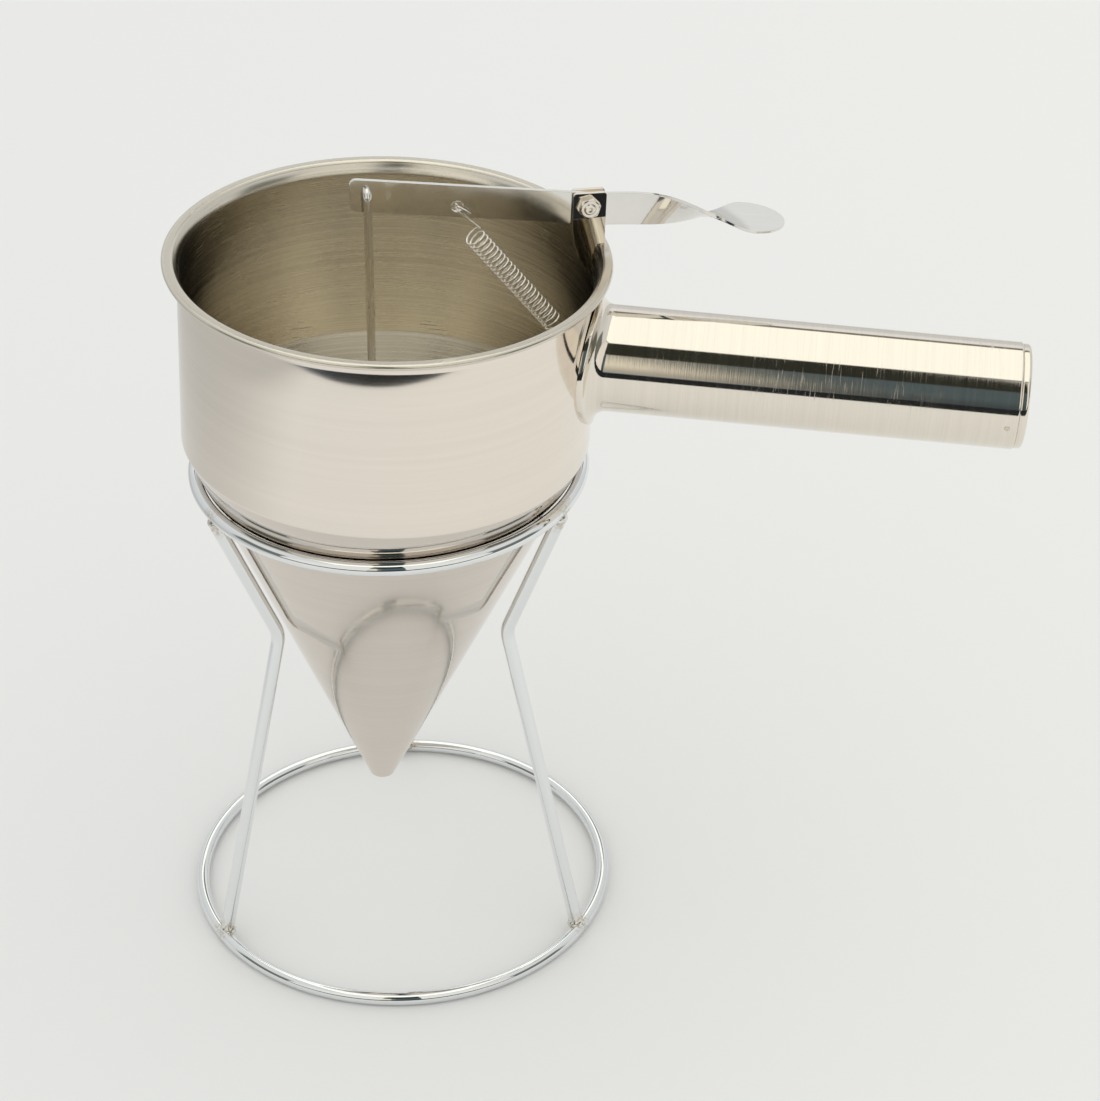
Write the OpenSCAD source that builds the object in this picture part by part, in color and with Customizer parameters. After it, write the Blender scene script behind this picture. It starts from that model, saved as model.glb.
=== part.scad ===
// Batter dispenser: a steel hopper with a side handle and a thumb lever that lifts a stopper
// out of the outlet. The hopper sits loose in the upper ring of a three-legged wire stand.
// Frame: +Z up, origin on the table under the middle of the stand, +X along the lever.

/* [Stand] */
// Diameter of the wire in the rings and legs
wire_d = 5; // [4:0.5:6]
// Radius of the base ring, to the middle of its wire
base_ring_r = 77.7; // [64:0.1:95]
// Radius of the seat ring that carries the hopper, to the middle of its wire
seat_ring_r = 69.1; // [58:0.1:70]
// Height of the middle of the seat ring above the table
seat_h = 187.6; // [175:0.1:230]
// Height of the bend in each leg
leg_bend_h = 130; // [110:1:150]
// Radius that the leg wire is bent to
leg_bend_curve_r = 12; // [8:1:20]
// Direction of the first leg, in degrees from the lever
leg_turn = 199.5; // [180:0.5:220]
// Gap between the upper part of the legs and the cone
leg_gap = 0.8; // [0.5:0.1:2]
// Radius of the weld spots
weld_r = 2.9; // [2.6:0.1:3.2]

/* [Hopper] */
// Outer radius of the bowl
bowl_r = 72.4; // [71:0.1:88]
// Height of the bowl, from the fold at the cone to the middle of the hem
bowl_h = 68.1; // [56:0.1:84]
// Thickness of the sheet
sheet_t = 0.8; // [0.6:0.1:1.2]
// Angle between the cone's wall and its axis
cone_angle = 24.1; // [22:0.1:27]
// Outer radius of the cone's open tip
tip_r = 4.5; // [4:0.1:7]
// Gap between the cone and the seat ring
seat_gap = 0.3; // [0.2:0.05:0.5]
// Angle that the hopper leans towards the lever in the ring
lean = 2.3; // [0:0.1:2.5]

/* [Rim] */
// Outer radius of the rolled hem beyond the bowl's wall
hem_out = 5.1; // [4.5:0.1:7]
// Width of the flat hem
hem_w = 4.4; // [4:0.1:5.5]
// Thickness of the hem
hem_t = 2.1; // [1.8:0.1:2.6]
// Radius of the flare under the hem
flare_r = 6; // [4:0.5:9]

/* [Handle] */
// Outer radius of the handle tube
handle_r = 18.7; // [15:0.1:20]
// Length of the tube beyond the bowl's wall
handle_len = 147; // [110:1:180]
// Wall of the tube
handle_wall = 1; // [0.8:0.1:1.5]
// Direction of the handle, in degrees from the lever
handle_turn = -17.3; // [-60:0.1:-15]
// Depth of the handle's middle below the hem's middle
handle_drop = 31.2; // [30:0.1:40]
// Angle that the handle slopes down
handle_slope = 1; // [0:0.5:3]
// Width of the flared foot beyond the tube, on each side
foot_w = 5.2; // [4:0.1:6.5]
// Thickness of the foot's edge on the bowl
foot_edge = 2; // [1.5:0.1:3]
// Length of the end cap that shows
cap_len = 3; // [2:0.5:5]
// Step between the tube and the end cap
cap_step = 0.5; // [0.3:0.1:1]
// Length of the cap's plug inside the tube
cap_plug = 8; // [7:1:14]
// Radius of the pin that holds the cap
cap_pin_r = 1; // [0.8:0.1:1.4]

/* [Lever] */
// Height of the lever strip
strip_h = 12; // [10:0.5:14]
// Thickness of the lever strip
strip_t = 1.5; // [1.2:0.1:2]
// Slope of the strip inside the bowl
strip_slope = 7.3; // [5:0.1:9]
// Slope of the strip outside the bowl
outer_slope = 3; // [1:0.5:5]
// Distance from the pivot to the strip's inner end
strip_in = 83.5; // [80.5:0.5:86]
// Distance from the bowl's wall to the tip of the thumb pad
pad_out = 68.3; // [60:0.1:80]
// Length of the rounded end of the thumb pad
pad_end = 13; // [10:0.5:16]
// Width of the thumb pad
pad_w = 22.6; // [16:0.1:26]
// Thickness of the thumb pad, which is pressed flat
pad_t = 0.8; // [0.7:0.1:1.5]
// Angle that the pad's near edge is rolled below level
pad_roll = 2; // [0:1:30]
// Drop of the pad's middle below the pivot
pad_drop = 9.9; // [8:0.1:12]

/* [Pivot] */
// Distance from the bowl's outer wall inwards to the pivot
pivot_in = 3.1; // [2.6:0.1:4]
// Height of the pivot above the hem's middle
pivot_h = 16.2; // [15:0.1:18]
// Radius of the pivot bolt
bolt_r = 2; // [1.5:0.1:2.2]
// Width of the nut across its flats
nut_af = 7; // [5.5:0.5:8]
// Thickness of the nut
nut_t = 3.2; // [2.4:0.1:3.4]
// Radius of the bolt's round head
head_r = 3.8; // [3.4:0.1:4.2]
// Thickness of the bolt's head
head_t = 2.4; // [1.8:0.1:3]
// Thickness of the bracket's sheet
cheek_t = 1.2; // [1:0.1:1.5]
// Length of the bracket along the lever
bracket_len = 11.8; // [11:0.1:14]
// Gap on each side of the strip in the bracket
side_gap = 0.3; // [0.25:0.05:0.5]

/* [Plunger] */
// Radius of the plunger rod
rod_r = 1.5; // [1.2:0.1:1.8]
// Distance along the strip from the pivot to the rod's hole
rod_arm = 77.8; // [76:0.1:79]
// Radius of the hook's bend at the top of the rod
hook_r = 2.2; // [2:0.1:2.6]
// Length of the stopper
plug_len = 7; // [5:0.5:10]
// Gap between the stopper and the cone when it is shut
plug_gap = 0.15; // [0.1:0.05:0.3]

/* [Spring] */
// Outer radius of the spring's coil
coil_r = 3.75; // [3:0.05:4]
// Radius of the spring's wire
spring_wire_r = 0.38; // [0.3:0.02:0.42]
// Turns of the coil
coil_turns = 25.5; // [20.5:1:28.5]
// Length of the coil
coil_len = 46.9; // [44:0.1:48]
// Distance along the strip from the pivot to the spring's hole
spring_arm = 45.5; // [44:0.1:46.5]
// Angle of the spring below level
spring_angle = 47.9; // [46:0.1:49]

/* [Hidden] */
$fn = 96;
chrome = [0.78, 0.79, 0.80];
steel = [0.80, 0.77, 0.73];
dark_steel = [0.55, 0.53, 0.50];
wire_r = wire_d / 2;
cut = 0.5;
// A bend is a little thicker than its wire, so that the straight wires end inside it.
bend_over = 0.03;
bend_lap = 0.2;

// Hopper heights are measured from the middle of the seat ring, along the hopper's axis.
cone_tan = tan(cone_angle);
sheet_across = sheet_t / cos(cone_angle);
cone_r0 = seat_ring_r - (wire_r + seat_gap) / cos(cone_angle);
fold_z = (bowl_r - cone_r0) / cone_tan;
tip_z = fold_z - (bowl_r - tip_r) / cone_tan;
rim_z = fold_z + bowl_h;
bore_r = tip_r - sheet_across;
lean_z = seat_ring_r * cone_tan;
hem_r = bowl_r + hem_out;
// The flare runs out to the middle of the hem's inner bead.
flare_mid = flare_r + sheet_t / 2;
flare_angle = acos((bowl_r + flare_r - (hem_r - hem_w + hem_t * 0.35)) / flare_mid);
flare_z = rim_z - flare_mid * sin(flare_angle);

// The upper part of each leg runs beside the leaning cone.
leg_slope = cone_angle - lean;
bend_cone_r = cone_r0 - (seat_h - leg_bend_h) * cone_tan;
bend_shift = (lean_z + seat_h - leg_bend_h) * sin(lean);
leg_bend_r = bend_cone_r + bend_shift + (wire_r + leg_gap) / cos(cone_angle);
leg_top_h = seat_h - wire_r * 0.8;
leg_top_r = leg_bend_r + (leg_top_h - leg_bend_h) * tan(leg_slope);
leg_foot_h = wire_r * 1.45;
leg_foot_r = base_ring_r - wire_r * 0.5;
leg_turns = [leg_turn, leg_turn + 120, leg_turn + 240];
weld_in = 0.5;
weld_up = 0.8;

handle_z = rim_z - handle_drop;
cap_r = handle_r - cap_step;
cap_fit = 0.05;
cap_round = 1.2;
cap_wall = 4;
cap_floor = 1;
pin_turn = 9;
pin_in = 3.6;
pin_reach = 3;
pin_proud = 0.15;
root_in = 6;
root_over = 0.3;

pivot_x = bowl_r - pivot_in;
pivot_z = rim_z + pivot_h;
strip_mid = 2;
pivot_gap = 0.06;
strip_corner = 2.5;
outer_from = 4;
twist_from = 14;
pad_mid_x = bowl_r + pad_out - pad_end;
pad_tip_drop = 1.4;
slot_w = strip_t + 2 * side_gap;
bracket_w = slot_w + 2 * cheek_t;
bracket_in_x = pivot_x - 5.3;
bracket_out_x = bracket_in_x + bracket_len;
bracket_top = 4.6;
bracket_corner = 1.2;
bracket_low = 12;
// Inner edge of the bracket's leg, from its own inner edge and from the hem's middle.
bracket_leg = [[0, 7.8], [0.9, 2], [3.3, -4.8], [5.8, -9.5]];
web = cheek_t + 0.2;
bolt_gap = 0.05;
bolt_tip = 0.4;
nut_turn = 14;

// The rod's hole is a little above the pivot's line, the spring's hole lies below it.
rod_hole = [-rod_arm, 0.3];
spring_hole = [-spring_arm, -4];
spring_hole_r = 2;
rod_gap = 0.08;
hook_y = hook_r + strip_t / 2 + 0.3;
hook_past = 3;

coil_mid_r = coil_r - spring_wire_r;
lug_hole_r = 1.2;
lug_t = 1.2;
lug_h = 8;
lug_edge = 3;
lug_past = 8;

function on_lever(p) = [
    pivot_x + p[0] * cos(strip_slope) + p[1] * sin(strip_slope),
    pivot_z - p[0] * sin(strip_slope) + p[1] * cos(strip_slope)
];
rod_top = on_lever(rod_hole);
hook_at = on_lever(spring_hole);
coil_dir = [cos(spring_angle), -sin(spring_angle)];
coil_side = [sin(spring_angle), cos(spring_angle)];
hook_wire = 12.5;
coil_top = hook_at + hook_wire * coil_dir - coil_mid_r * coil_side;
coil_end = coil_top + coil_len * coil_dir;
lug_hole = coil_end + lug_past * coil_dir;

plug_up = 1.5;
plug_shoulder = 1.5;
plug_z = tip_z + plug_up;
plug_r0 = bore_r + (plug_z - tip_z) * cone_tan - plug_gap / cos(cone_angle);
rod_low = plug_z + 2;

function smooth(t) = let(c = min(1, max(0, t))) c * c * (3 - 2 * c);
function mix(a, b, t) = a + (b - a) * t;

// Turns the hopper to its lean about the point from which the cone still touches the ring.
module hopper_place() {
    translate([0, 0, seat_h + lean_z])
        rotate([0, lean, 0])
            translate([0, 0, -lean_z])
                children();
}

module on_pivot() {
    translate([pivot_x, 0, pivot_z])
        rotate([0, strip_slope, 0])
            children();
}

module along_y(x, z, y, len) {
    translate([x, y, z])
        rotate([-90, 0, 0])
            linear_extrude(len)
                children();
}

module rod_between(a, b, r) {
    d = b - a;
    translate(a)
        rotate([0, acos(d[2] / norm(d)), atan2(d[1], d[0])])
            cylinder(h = norm(d), r = r, $fn = 32);
}

module wire_ring(ring_r, z) {
    translate([0, 0, z])
        rotate_extrude($fn = 128)
            translate([ring_r, 0])
                circle(wire_r, $fn = 32);
}

module base_ring() {
    color(chrome)
        wire_ring(base_ring_r, wire_r);
}

module seat_ring() {
    color(chrome)
        wire_ring(seat_ring_r, seat_h);
}

module leg(turn) {
    up = [leg_top_r - leg_bend_r, 0, leg_top_h - leg_bend_h];
    down = [leg_foot_r - leg_bend_r, 0, leg_foot_h - leg_bend_h];
    u = up / norm(up);
    v = down / norm(down);
    bend = [leg_bend_r, 0, leg_bend_h];
    half = acos(u * v) / 2;
    mid = (u + v) / norm(u + v);
    centre = bend + mid * leg_bend_curve_r / sin(half);
    run = leg_bend_curve_r / tan(half);
    from = bend + u * run - centre;
    start = atan2(from[2], from[0]);
    color(chrome)
        rotate([0, 0, turn]) {
            rod_between(bend + u * (run - bend_lap), bend + up, wire_r);
            rod_between(bend + v * (run - bend_lap), bend + down, wire_r);
            translate(centre)
                rotate([90, 0, 0])
                    rotate([0, 0, start])
                        rotate_extrude(angle = 180 - 2 * half)
                            translate([leg_bend_curve_r, 0])
                                circle(wire_r + bend_over, $fn = 32);
        }
}

module stand_welds() {
    color(chrome)
        for (turn = leg_turns)
            rotate([0, 0, turn]) {
                translate([leg_foot_r - weld_in, 0, leg_foot_h + weld_up])
                    sphere(weld_r, $fn = 48);
                translate([leg_top_r - weld_in, 0, leg_top_h - weld_in])
                    sphere(weld_r, $fn = 48);
            }
}

module bowl_sheet() {
    polygon([
        [bowl_r - sheet_t, fold_z],
        [bowl_r, fold_z],
        [bowl_r, flare_z],
        [bowl_r - sheet_t, flare_z]
    ]);
    translate([bowl_r + flare_r, flare_z])
        intersection() {
            difference() {
                circle(flare_r + sheet_t);
                circle(flare_r);
            }
            polygon([
                [0, -0.1],
                [-2 * flare_r, -0.1],
                [-2 * flare_r, 2 * flare_r * tan(flare_angle)]
            ]);
        }
    translate([hem_r - hem_w + hem_t / 2, rim_z])
        circle(hem_t / 2, $fn = 32);
    translate([hem_r - hem_t / 2, rim_z])
        circle(hem_t / 2, $fn = 32);
    translate([hem_r - hem_w + hem_t / 2, rim_z - hem_t / 2])
        square([hem_w - hem_t, hem_t]);
}

module hopper_bowl() {
    color(steel)
        hopper_place()
            rotate_extrude($fn = 160)
                bowl_sheet();
}

module hopper_cone() {
    color(steel)
        hopper_place()
            rotate_extrude($fn = 160)
                polygon([
                    [bowl_r - sheet_across, fold_z],
                    [bowl_r, fold_z],
                    [tip_r, tip_z],
                    [bore_r, tip_z]
                ]);
}

// Handle frame: Z along the tube, away from the bowl, with its origin on the bowl's axis.
module handle_place() {
    hopper_place()
        rotate([0, 0, handle_turn])
            translate([0, 0, handle_z])
                rotate([0, 90 + handle_slope, 0])
                    children();
}

// Radius and height above the bowl's wall of the foot's outer surface, at one step of its curve.
foot_steps = 8;
foot_sides = 72;
foot_over = 0.05;
foot_chamfer = 0.6;
foot_sunk = 2;
function foot_r(k) = k < 0 ? handle_r + foot_w
    : handle_r + foot_over + (foot_w - foot_chamfer) * (1 - sin(90 * k / foot_steps));
function foot_h(k) = k < 0 ? foot_edge - foot_chamfer
    : foot_edge + (foot_w - foot_chamfer) * (1 - cos(90 * k / foot_steps));
// The bowl's wall as seen along the tube, at a radius and an angle about the tube.
function wall_at(r, a) = sqrt(bowl_r * bowl_r - pow(r * sin(a), 2));
function foot_ring(r, lift) = [
    for (i = [0 : foot_sides - 1])
        let(a = 360 * i / foot_sides)
            [r * cos(a), r * sin(a), wall_at(r, a) + lift]
];

module handle_foot() {
    rings = [
        foot_ring(handle_r + foot_w, -foot_sunk),
        for (k = [-1 : foot_steps])
            foot_ring(foot_r(k), foot_h(k)),
        foot_ring(handle_r - handle_wall / 2, foot_h(foot_steps)),
        foot_ring(handle_r - handle_wall / 2, -foot_sunk)
    ];
    n = len(rings);
    polyhedron(
        points = [for (ring = rings) each ring],
        faces = [
            for (k = [0 : n - 1], i = [0 : foot_sides - 1])
                let(
                    j = (i + 1) % foot_sides,
                    a = k * foot_sides,
                    b = ((k + 1) % n) * foot_sides
                )
                    each [
                        [a + i, b + i, b + j],
                        [a + i, b + j, a + j]
                    ]
        ]
    );
}

// The tube widens a little towards the bowl, so its straight part starts clear of the foot.
module tube_outline() {
    inside = handle_r - handle_wall - cut;
    polygon([
        [inside, bowl_r - root_in],
        [handle_r + root_over, bowl_r - root_in],
        [handle_r, bowl_r + foot_edge + foot_w],
        [handle_r, bowl_r + handle_len],
        [inside, bowl_r + handle_len]
    ]);
}

module handle_bore() {
    translate([0, 0, bowl_r - root_in - cut])
        cylinder(h = handle_len + root_in + 2 * cut, r = handle_r - handle_wall);
}

module handle_tube() {
    color(steel)
        difference() {
            handle_place()
                difference() {
                    union() {
                        handle_foot();
                        rotate_extrude()
                            tube_outline();
                    }
                    handle_bore();
                    handle_pin_shape(cap_fit);
                }
            hopper_place()
                translate([0, 0, fold_z])
                    cylinder(h = bowl_h, r = bowl_r, $fn = 160);
        }
}

module handle_pin_shape(gap) {
    translate([0, 0, bowl_r + handle_len - pin_in])
        rotate([0, 0, pin_turn])
            rotate([90, 0, 0])
                translate([0, 0, handle_r - handle_wall - pin_reach])
                    cylinder(h = handle_wall + pin_reach + pin_proud, r = cap_pin_r + gap, $fn = 32);
}

module handle_pin() {
    color(dark_steel)
        handle_place()
            handle_pin_shape(0);
}

module cap_outline() {
    end_z = bowl_r + handle_len;
    plug_r = handle_r - handle_wall - cap_fit;
    polygon([
        [0, end_z - cap_plug],
        [plug_r, end_z - cap_plug],
        [plug_r, end_z],
        [cap_r, end_z],
        [cap_r, end_z + cap_len - cap_round],
        [cap_r - cap_round, end_z + cap_len - cap_round],
        [cap_r - cap_round, end_z + cap_len],
        [0, end_z + cap_len]
    ]);
    translate([cap_r - cap_round, end_z + cap_len - cap_round])
        circle(cap_round, $fn = 48);
}

module handle_end_cap() {
    color(steel)
        handle_place()
            difference() {
                rotate_extrude()
                    cap_outline();
                translate([0, 0, bowl_r + handle_len - cap_plug - cut])
                    cylinder(h = cap_plug - cap_floor + cut, r = handle_r - handle_wall - cap_wall);
                handle_pin_shape(cap_fit);
            }
}

// Side view of the bracket: it stands on the hem and reaches down the inside of the bowl.
module cheek_outline() {
    z0 = rim_z;
    top = pivot_z + bracket_top;
    difference() {
        union() {
            polygon([
                [bracket_in_x, top - bracket_corner],
                for (p = bracket_leg)
                    [bracket_in_x + p[0], z0 + p[1]],
                [bowl_r, z0 - bracket_low],
                [bracket_out_x, z0],
                [bracket_out_x, top - bracket_corner]
            ]);
            translate([bracket_in_x + bracket_corner, top - 2 * bracket_corner])
                square([bracket_len - 2 * bracket_corner, 2 * bracket_corner]);
            for (x = [bracket_in_x + bracket_corner, bracket_out_x - bracket_corner])
                translate([x, top - bracket_corner])
                    circle(bracket_corner, $fn = 32);
        }
        bowl_sheet();
        translate([bowl_r - sheet_t, fold_z])
            square([hem_r, flare_z - fold_z]);
        polygon([
            [bowl_r, flare_z - cut],
            [bowl_r, rim_z],
            [bowl_r + 2 * hem_out, rim_z],
            [bowl_r + 2 * hem_out, flare_z - cut]
        ]);
    }
}

// The space between the cheeks: it leaves a web of sheet on the hem and on the bowl's wall.
module slot_outline() {
    wall = bowl_r - sheet_t;
    polygon([
        [bracket_in_x - cut, rim_z - bracket_low - 4],
        [wall - web, rim_z - bracket_low - 4],
        [wall - web, rim_z - 3],
        [wall + 0.4, rim_z + hem_t / 2 + web],
        [bracket_out_x + cut, rim_z + hem_t / 2 + web],
        [bracket_out_x + cut, pivot_z + bracket_top + cut],
        [bracket_in_x - cut, pivot_z + bracket_top + cut]
    ]);
}

module standing(w) {
    translate([0, w / 2, 0])
        rotate([90, 0, 0])
            linear_extrude(w)
                children();
}

module lever_bracket() {
    color(steel)
        hopper_place()
            difference() {
                standing(bracket_w)
                    cheek_outline();
                standing(slot_w)
                    slot_outline();
                along_y(pivot_x, pivot_z, -bracket_w, 2 * bracket_w)
                    circle(bolt_r + bolt_gap);
            }
}

module pivot_bolt() {
    near = bracket_w / 2 + nut_t + bolt_tip;
    color(steel)
        hopper_place()
            translate([pivot_x, bracket_w / 2, pivot_z])
                rotate([90, 0, 0]) {
                    translate([0, 0, -head_t])
                        rotate_extrude()
                            intersection() {
                                square([head_r, head_t]);
                                translate([0, head_t + head_r * 1.2 - head_t * 0.15])
                                    circle(head_r * 1.2 + head_t * 0.85);
                            }
                    rotate_extrude()
                        polygon([
                            [0, -head_t / 2],
                            [bolt_r, -head_t / 2],
                            [bolt_r, bracket_w / 2 + near - bolt_tip],
                            [bolt_r - bolt_tip, bracket_w / 2 + near],
                            [0.5, bracket_w / 2 + near],
                            [0, bracket_w / 2 + near - 0.3]
                        ]);
                }
}

module pivot_nut() {
    corner_r = nut_af / 2 / cos(30);
    chamfer_w = 1.4;
    color(steel)
        hopper_place()
            translate([pivot_x, -bracket_w / 2, pivot_z])
                rotate([90, 0, 0])
                    difference() {
                        intersection() {
                            rotate([0, 0, nut_turn])
                                cylinder(h = nut_t, r = corner_r, $fn = 6);
                            rotate_extrude()
                                polygon([
                                    [0, -cut],
                                    [corner_r + chamfer_w * 0.3, -cut],
                                    [corner_r + chamfer_w * 0.3, nut_t - chamfer_w / 2],
                                    [corner_r - chamfer_w * 0.7, nut_t],
                                    [0, nut_t]
                                ]);
                        }
                        translate([0, 0, -cut])
                            cylinder(h = nut_t + 2 * cut, r = bolt_r + bolt_gap);
                    }
}

module spring_lug() {
    color(steel)
        hopper_place()
            difference() {
                standing(lug_t)
                    difference() {
                        union() {
                            translate([lug_hole[0], lug_hole[1] - lug_h / 2])
                                square([bowl_r - lug_hole[0], lug_h]);
                            translate(lug_hole)
                                circle(lug_edge, $fn = 48);
                        }
                        translate([bowl_r - sheet_t, fold_z])
                            square([hem_r, bowl_h]);
                    }
                along_y(lug_hole[0], lug_hole[1], -lug_t, 2 * lug_t)
                    circle(lug_hole_r, $fn = 32);
            }
}

module strip_outline() {
    top = strip_h / 2 - strip_mid;
    low = -strip_h / 2 - strip_mid;
    difference() {
        union() {
            polygon([
                [-strip_in + strip_corner, low],
                [outer_from, low],
                [outer_from, top],
                [-strip_in + strip_corner, top]
            ]);
            translate([-strip_in, low + strip_corner])
                square([2 * strip_corner, strip_h - 2 * strip_corner]);
            for (v = [low + strip_corner, top - strip_corner])
                translate([-strip_in + strip_corner, v])
                    circle(strip_corner, $fn = 48);
            translate([outer_from - strip_h / 4, -strip_mid])
                rotate(strip_slope - outer_slope)
                    translate([0, -strip_h / 2])
                        square([twist_from, strip_h]);
        }
        circle(bolt_r + pivot_gap);
        translate(rod_hole)
            circle(rod_r + rod_gap);
        translate(spring_hole)
            circle(spring_hole_r);
    }
}

// Middle line, turn, width and thickness of the twisted part of the lever, from the strip to the pad's tip.
twist_steps = 40;
twist_x0 = pivot_x + 10;
twist_x1 = bowl_r + pad_out;
// Where the strip starts to turn and to drop, beyond the start of the twisted part, and how far on it ends.
turn_in = 7.8;
turn_len = 40;
drop_in = 2;
drop_len = 42;
widen_len = 15;
function twist_x(i) = mix(twist_x0, twist_x1, 1 - pow(1 - i / twist_steps, 1.25));
function twist_turn(x) = 90 + (90 + pad_roll) * smooth((x - twist_x0 - turn_in) / turn_len);
function strip_line(x) = pivot_z - strip_mid - (x - pivot_x - outer_from + 0.5) * tan(outer_slope)
    - (outer_from - 0.5) * tan(strip_slope);
function pad_line(x) = pivot_z - pad_drop - (x - pad_mid_x) * pad_tip_drop / pad_end;
function twist_z(x) = mix(strip_line(x), pad_line(x), smooth((x - twist_x0 - drop_in) / drop_len));
function pad_share(x) = smooth((x - pad_mid_x + widen_len) / widen_len);
function pad_width(x) = mix(strip_h, pad_w, pad_share(x))
    * sqrt(max(0.004, 1 - pow(max(0, x - pad_mid_x) / pad_end, 2)));
function twist_ring(x) =
    let(
        a = twist_turn(x),
        w = pad_width(x) / 2,
        t = mix(strip_t, pad_t, pad_share(x)) / 2,
        e = min(0.3, w / 2)
    )
    [
        for (p = [
            [w, -t + e], [w, t - e], [w - e, t], [-w + e, t],
            [-w, t - e], [-w, -t + e], [-w + e, -t], [w - e, -t]
        ])
            [x, p[0] * cos(a) - p[1] * sin(a), twist_z(x) + p[0] * sin(a) + p[1] * cos(a)]
    ];

module twisted_pad() {
    m = 8;
    polyhedron(
        points = [
            for (i = [0 : twist_steps])
                each twist_ring(twist_x(i))
        ],
        faces = [
            [for (i = [0 : m - 1]) i],
            [for (i = [m - 1 : -1 : 0]) twist_steps * m + i],
            for (k = [0 : twist_steps - 1], i = [0 : m - 1])
                let(j = (i + 1) % m)
                    each [
                        [k * m + i, (k + 1) * m + i, (k + 1) * m + j],
                        [k * m + i, (k + 1) * m + j, k * m + j]
                    ]
        ]
    );
}

module lever() {
    color(steel)
        hopper_place() {
            on_pivot()
                standing(strip_t)
                    strip_outline();
            twisted_pad();
        }
}

// The spring is one wire: a hook through the lever, the coil, and a hook through the lug.
rings_per_turn = 8;
coil_rings = coil_turns * rings_per_turn;
wire_sides = 6;
hook_side = strip_t / 2 + 1.1;
lug_side = lug_t / 2 + 0.8;
along_coil = [coil_dir[0], 0, coil_dir[1]];
hook_mid = [hook_at[0], 0, hook_at[1]];
lug_mid = [lug_hole[0], 0, lug_hole[1]];
function coil_point(i) =
    let(t = i * 360 / rings_per_turn, c = coil_top + coil_dir * coil_len * i / coil_rings)
        [
            c[0] + coil_mid_r * cos(t) * coil_side[0],
            coil_mid_r * sin(t),
            c[1] + coil_mid_r * cos(t) * coil_side[1]
        ];
spring_points = [
    hook_mid + [-1.8, hook_side + 0.3, -1.8],
    hook_mid + [0, hook_side, 0],
    hook_mid + [0, 0.6 - hook_side, 0],
    hook_mid + [0, -hook_side, 0] + along_coil * 1.5,
    for (i = [0 : coil_rings]) coil_point(i),
    lug_mid + [0, -lug_side, 0] - along_coil * 3,
    lug_mid + [0, -lug_side, 0],
    lug_mid + [0, lug_side, 0],
    lug_mid + [-1.5, lug_side + 0.3, 1.5]
];

function unit(v) = v / norm(v);
function directions(p) = [
    for (i = [0 : len(p) - 1])
        unit(p[min(i + 1, len(p) - 1)] - p[max(i - 1, 0)])
];
// Side directions that turn as little as possible from one point to the next.
function sides(t) = [
    for (
        i = 0, u = unit(cross(t[0], [0, 1, 0.3]));
        i < len(t);
        i = i + 1, u = i < len(t) ? unit(u - (u * t[i]) * t[i]) : u
    )
        u
];

module wire_along(p, r) {
    t = directions(p);
    u = sides(t);
    m = wire_sides;
    last = len(p) - 1;
    polyhedron(
        points = [
            for (i = [0 : last], s = [0 : m - 1])
                let(b = 360 * s / m)
                    p[i] + r * (cos(b) * u[i] + sin(b) * cross(t[i], u[i]))
        ],
        faces = [
            [for (s = [0 : m - 1]) s],
            [for (s = [m - 1 : -1 : 0]) last * m + s],
            for (k = [0 : last - 1], s = [0 : m - 1])
                let(j = (s + 1) % m)
                    each [
                        [k * m + s, (k + 1) * m + s, (k + 1) * m + j],
                        [k * m + s, (k + 1) * m + j, k * m + j]
                    ]
        ]
    );
}

module return_spring() {
    color(dark_steel)
        hopper_place()
            wire_along(spring_points, spring_wire_r);
}

// Rod frame: origin in the middle of the lever's rod hole, the hook's pin along Y.
rod_down = [-rod_top[0], 0, rod_low - rod_top[1]];
rod_tilt = atan2(rod_down[0], -rod_down[2]);
rod_drop = norm([rod_down[0], rod_down[2]]);
// The straight part leaves the hook's bend at this angle and ends on the hopper's axis.
hook_to_end = [hook_y - hook_r, rod_drop - hook_r];
rod_in = atan(hook_to_end[0] / hook_to_end[1]) + asin(hook_r / norm(hook_to_end));

module rod_place() {
    hopper_place()
        translate([rod_top[0], 0, rod_top[1]])
            rotate([0, -rod_tilt, 0])
                children();
}

module rod_shape() {
    bend_end = [0, -hook_y + hook_r - hook_r * cos(rod_in), -hook_r - hook_r * sin(rod_in)];
    down = [0, sin(rod_in), -cos(rod_in)];
    rod_between([0, -hook_y + hook_r - bend_lap, 0], [0, strip_t / 2 + hook_past, 0], rod_r);
    translate([0, -hook_y + hook_r, -hook_r])
        rotate([0, -90, 0])
            rotate([0, 0, -90 - rod_in])
                rotate_extrude(angle = 90 + rod_in, $fn = 64)
                    translate([hook_r, 0])
                        circle(rod_r + bend_over, $fn = 32);
    rod_between(bend_end - down * bend_lap, [0, 0, -rod_drop], rod_r);
}

module plunger_rod() {
    color(steel)
        rod_place()
            rod_shape();
}

module stopper_plug() {
    color(dark_steel)
        difference() {
            hopper_place()
                rotate_extrude()
                    polygon([
                        [0, plug_z],
                        [plug_r0, plug_z],
                        [plug_r0 + plug_len * cone_tan, plug_z + plug_len],
                        [plug_r0 + plug_len * cone_tan - plug_shoulder, plug_z + plug_len + plug_shoulder],
                        [0, plug_z + plug_len + plug_shoulder]
                    ]);
            rod_place()
                rod_shape();
        }
}

base_ring();
seat_ring();
leg(leg_turns[0]);  // leg_front_left
leg(leg_turns[1]);  // leg_front_right
leg(leg_turns[2]);  // leg_back
stand_welds();
hopper_bowl();
hopper_cone();
handle_tube();
handle_end_cap();
handle_pin();
lever_bracket();
pivot_bolt();
pivot_nut();
spring_lug();
lever();
return_spring();
plunger_rod();
stopper_plug();
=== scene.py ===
"""Batter dispenser: a polished steel hopper with a side handle and a thumb lever, on a wire stand.

Each piece is made in the row's frame: metres, +Z up, +X along the lever, origin on the table
under the middle of the stand.
"""
import math

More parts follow.
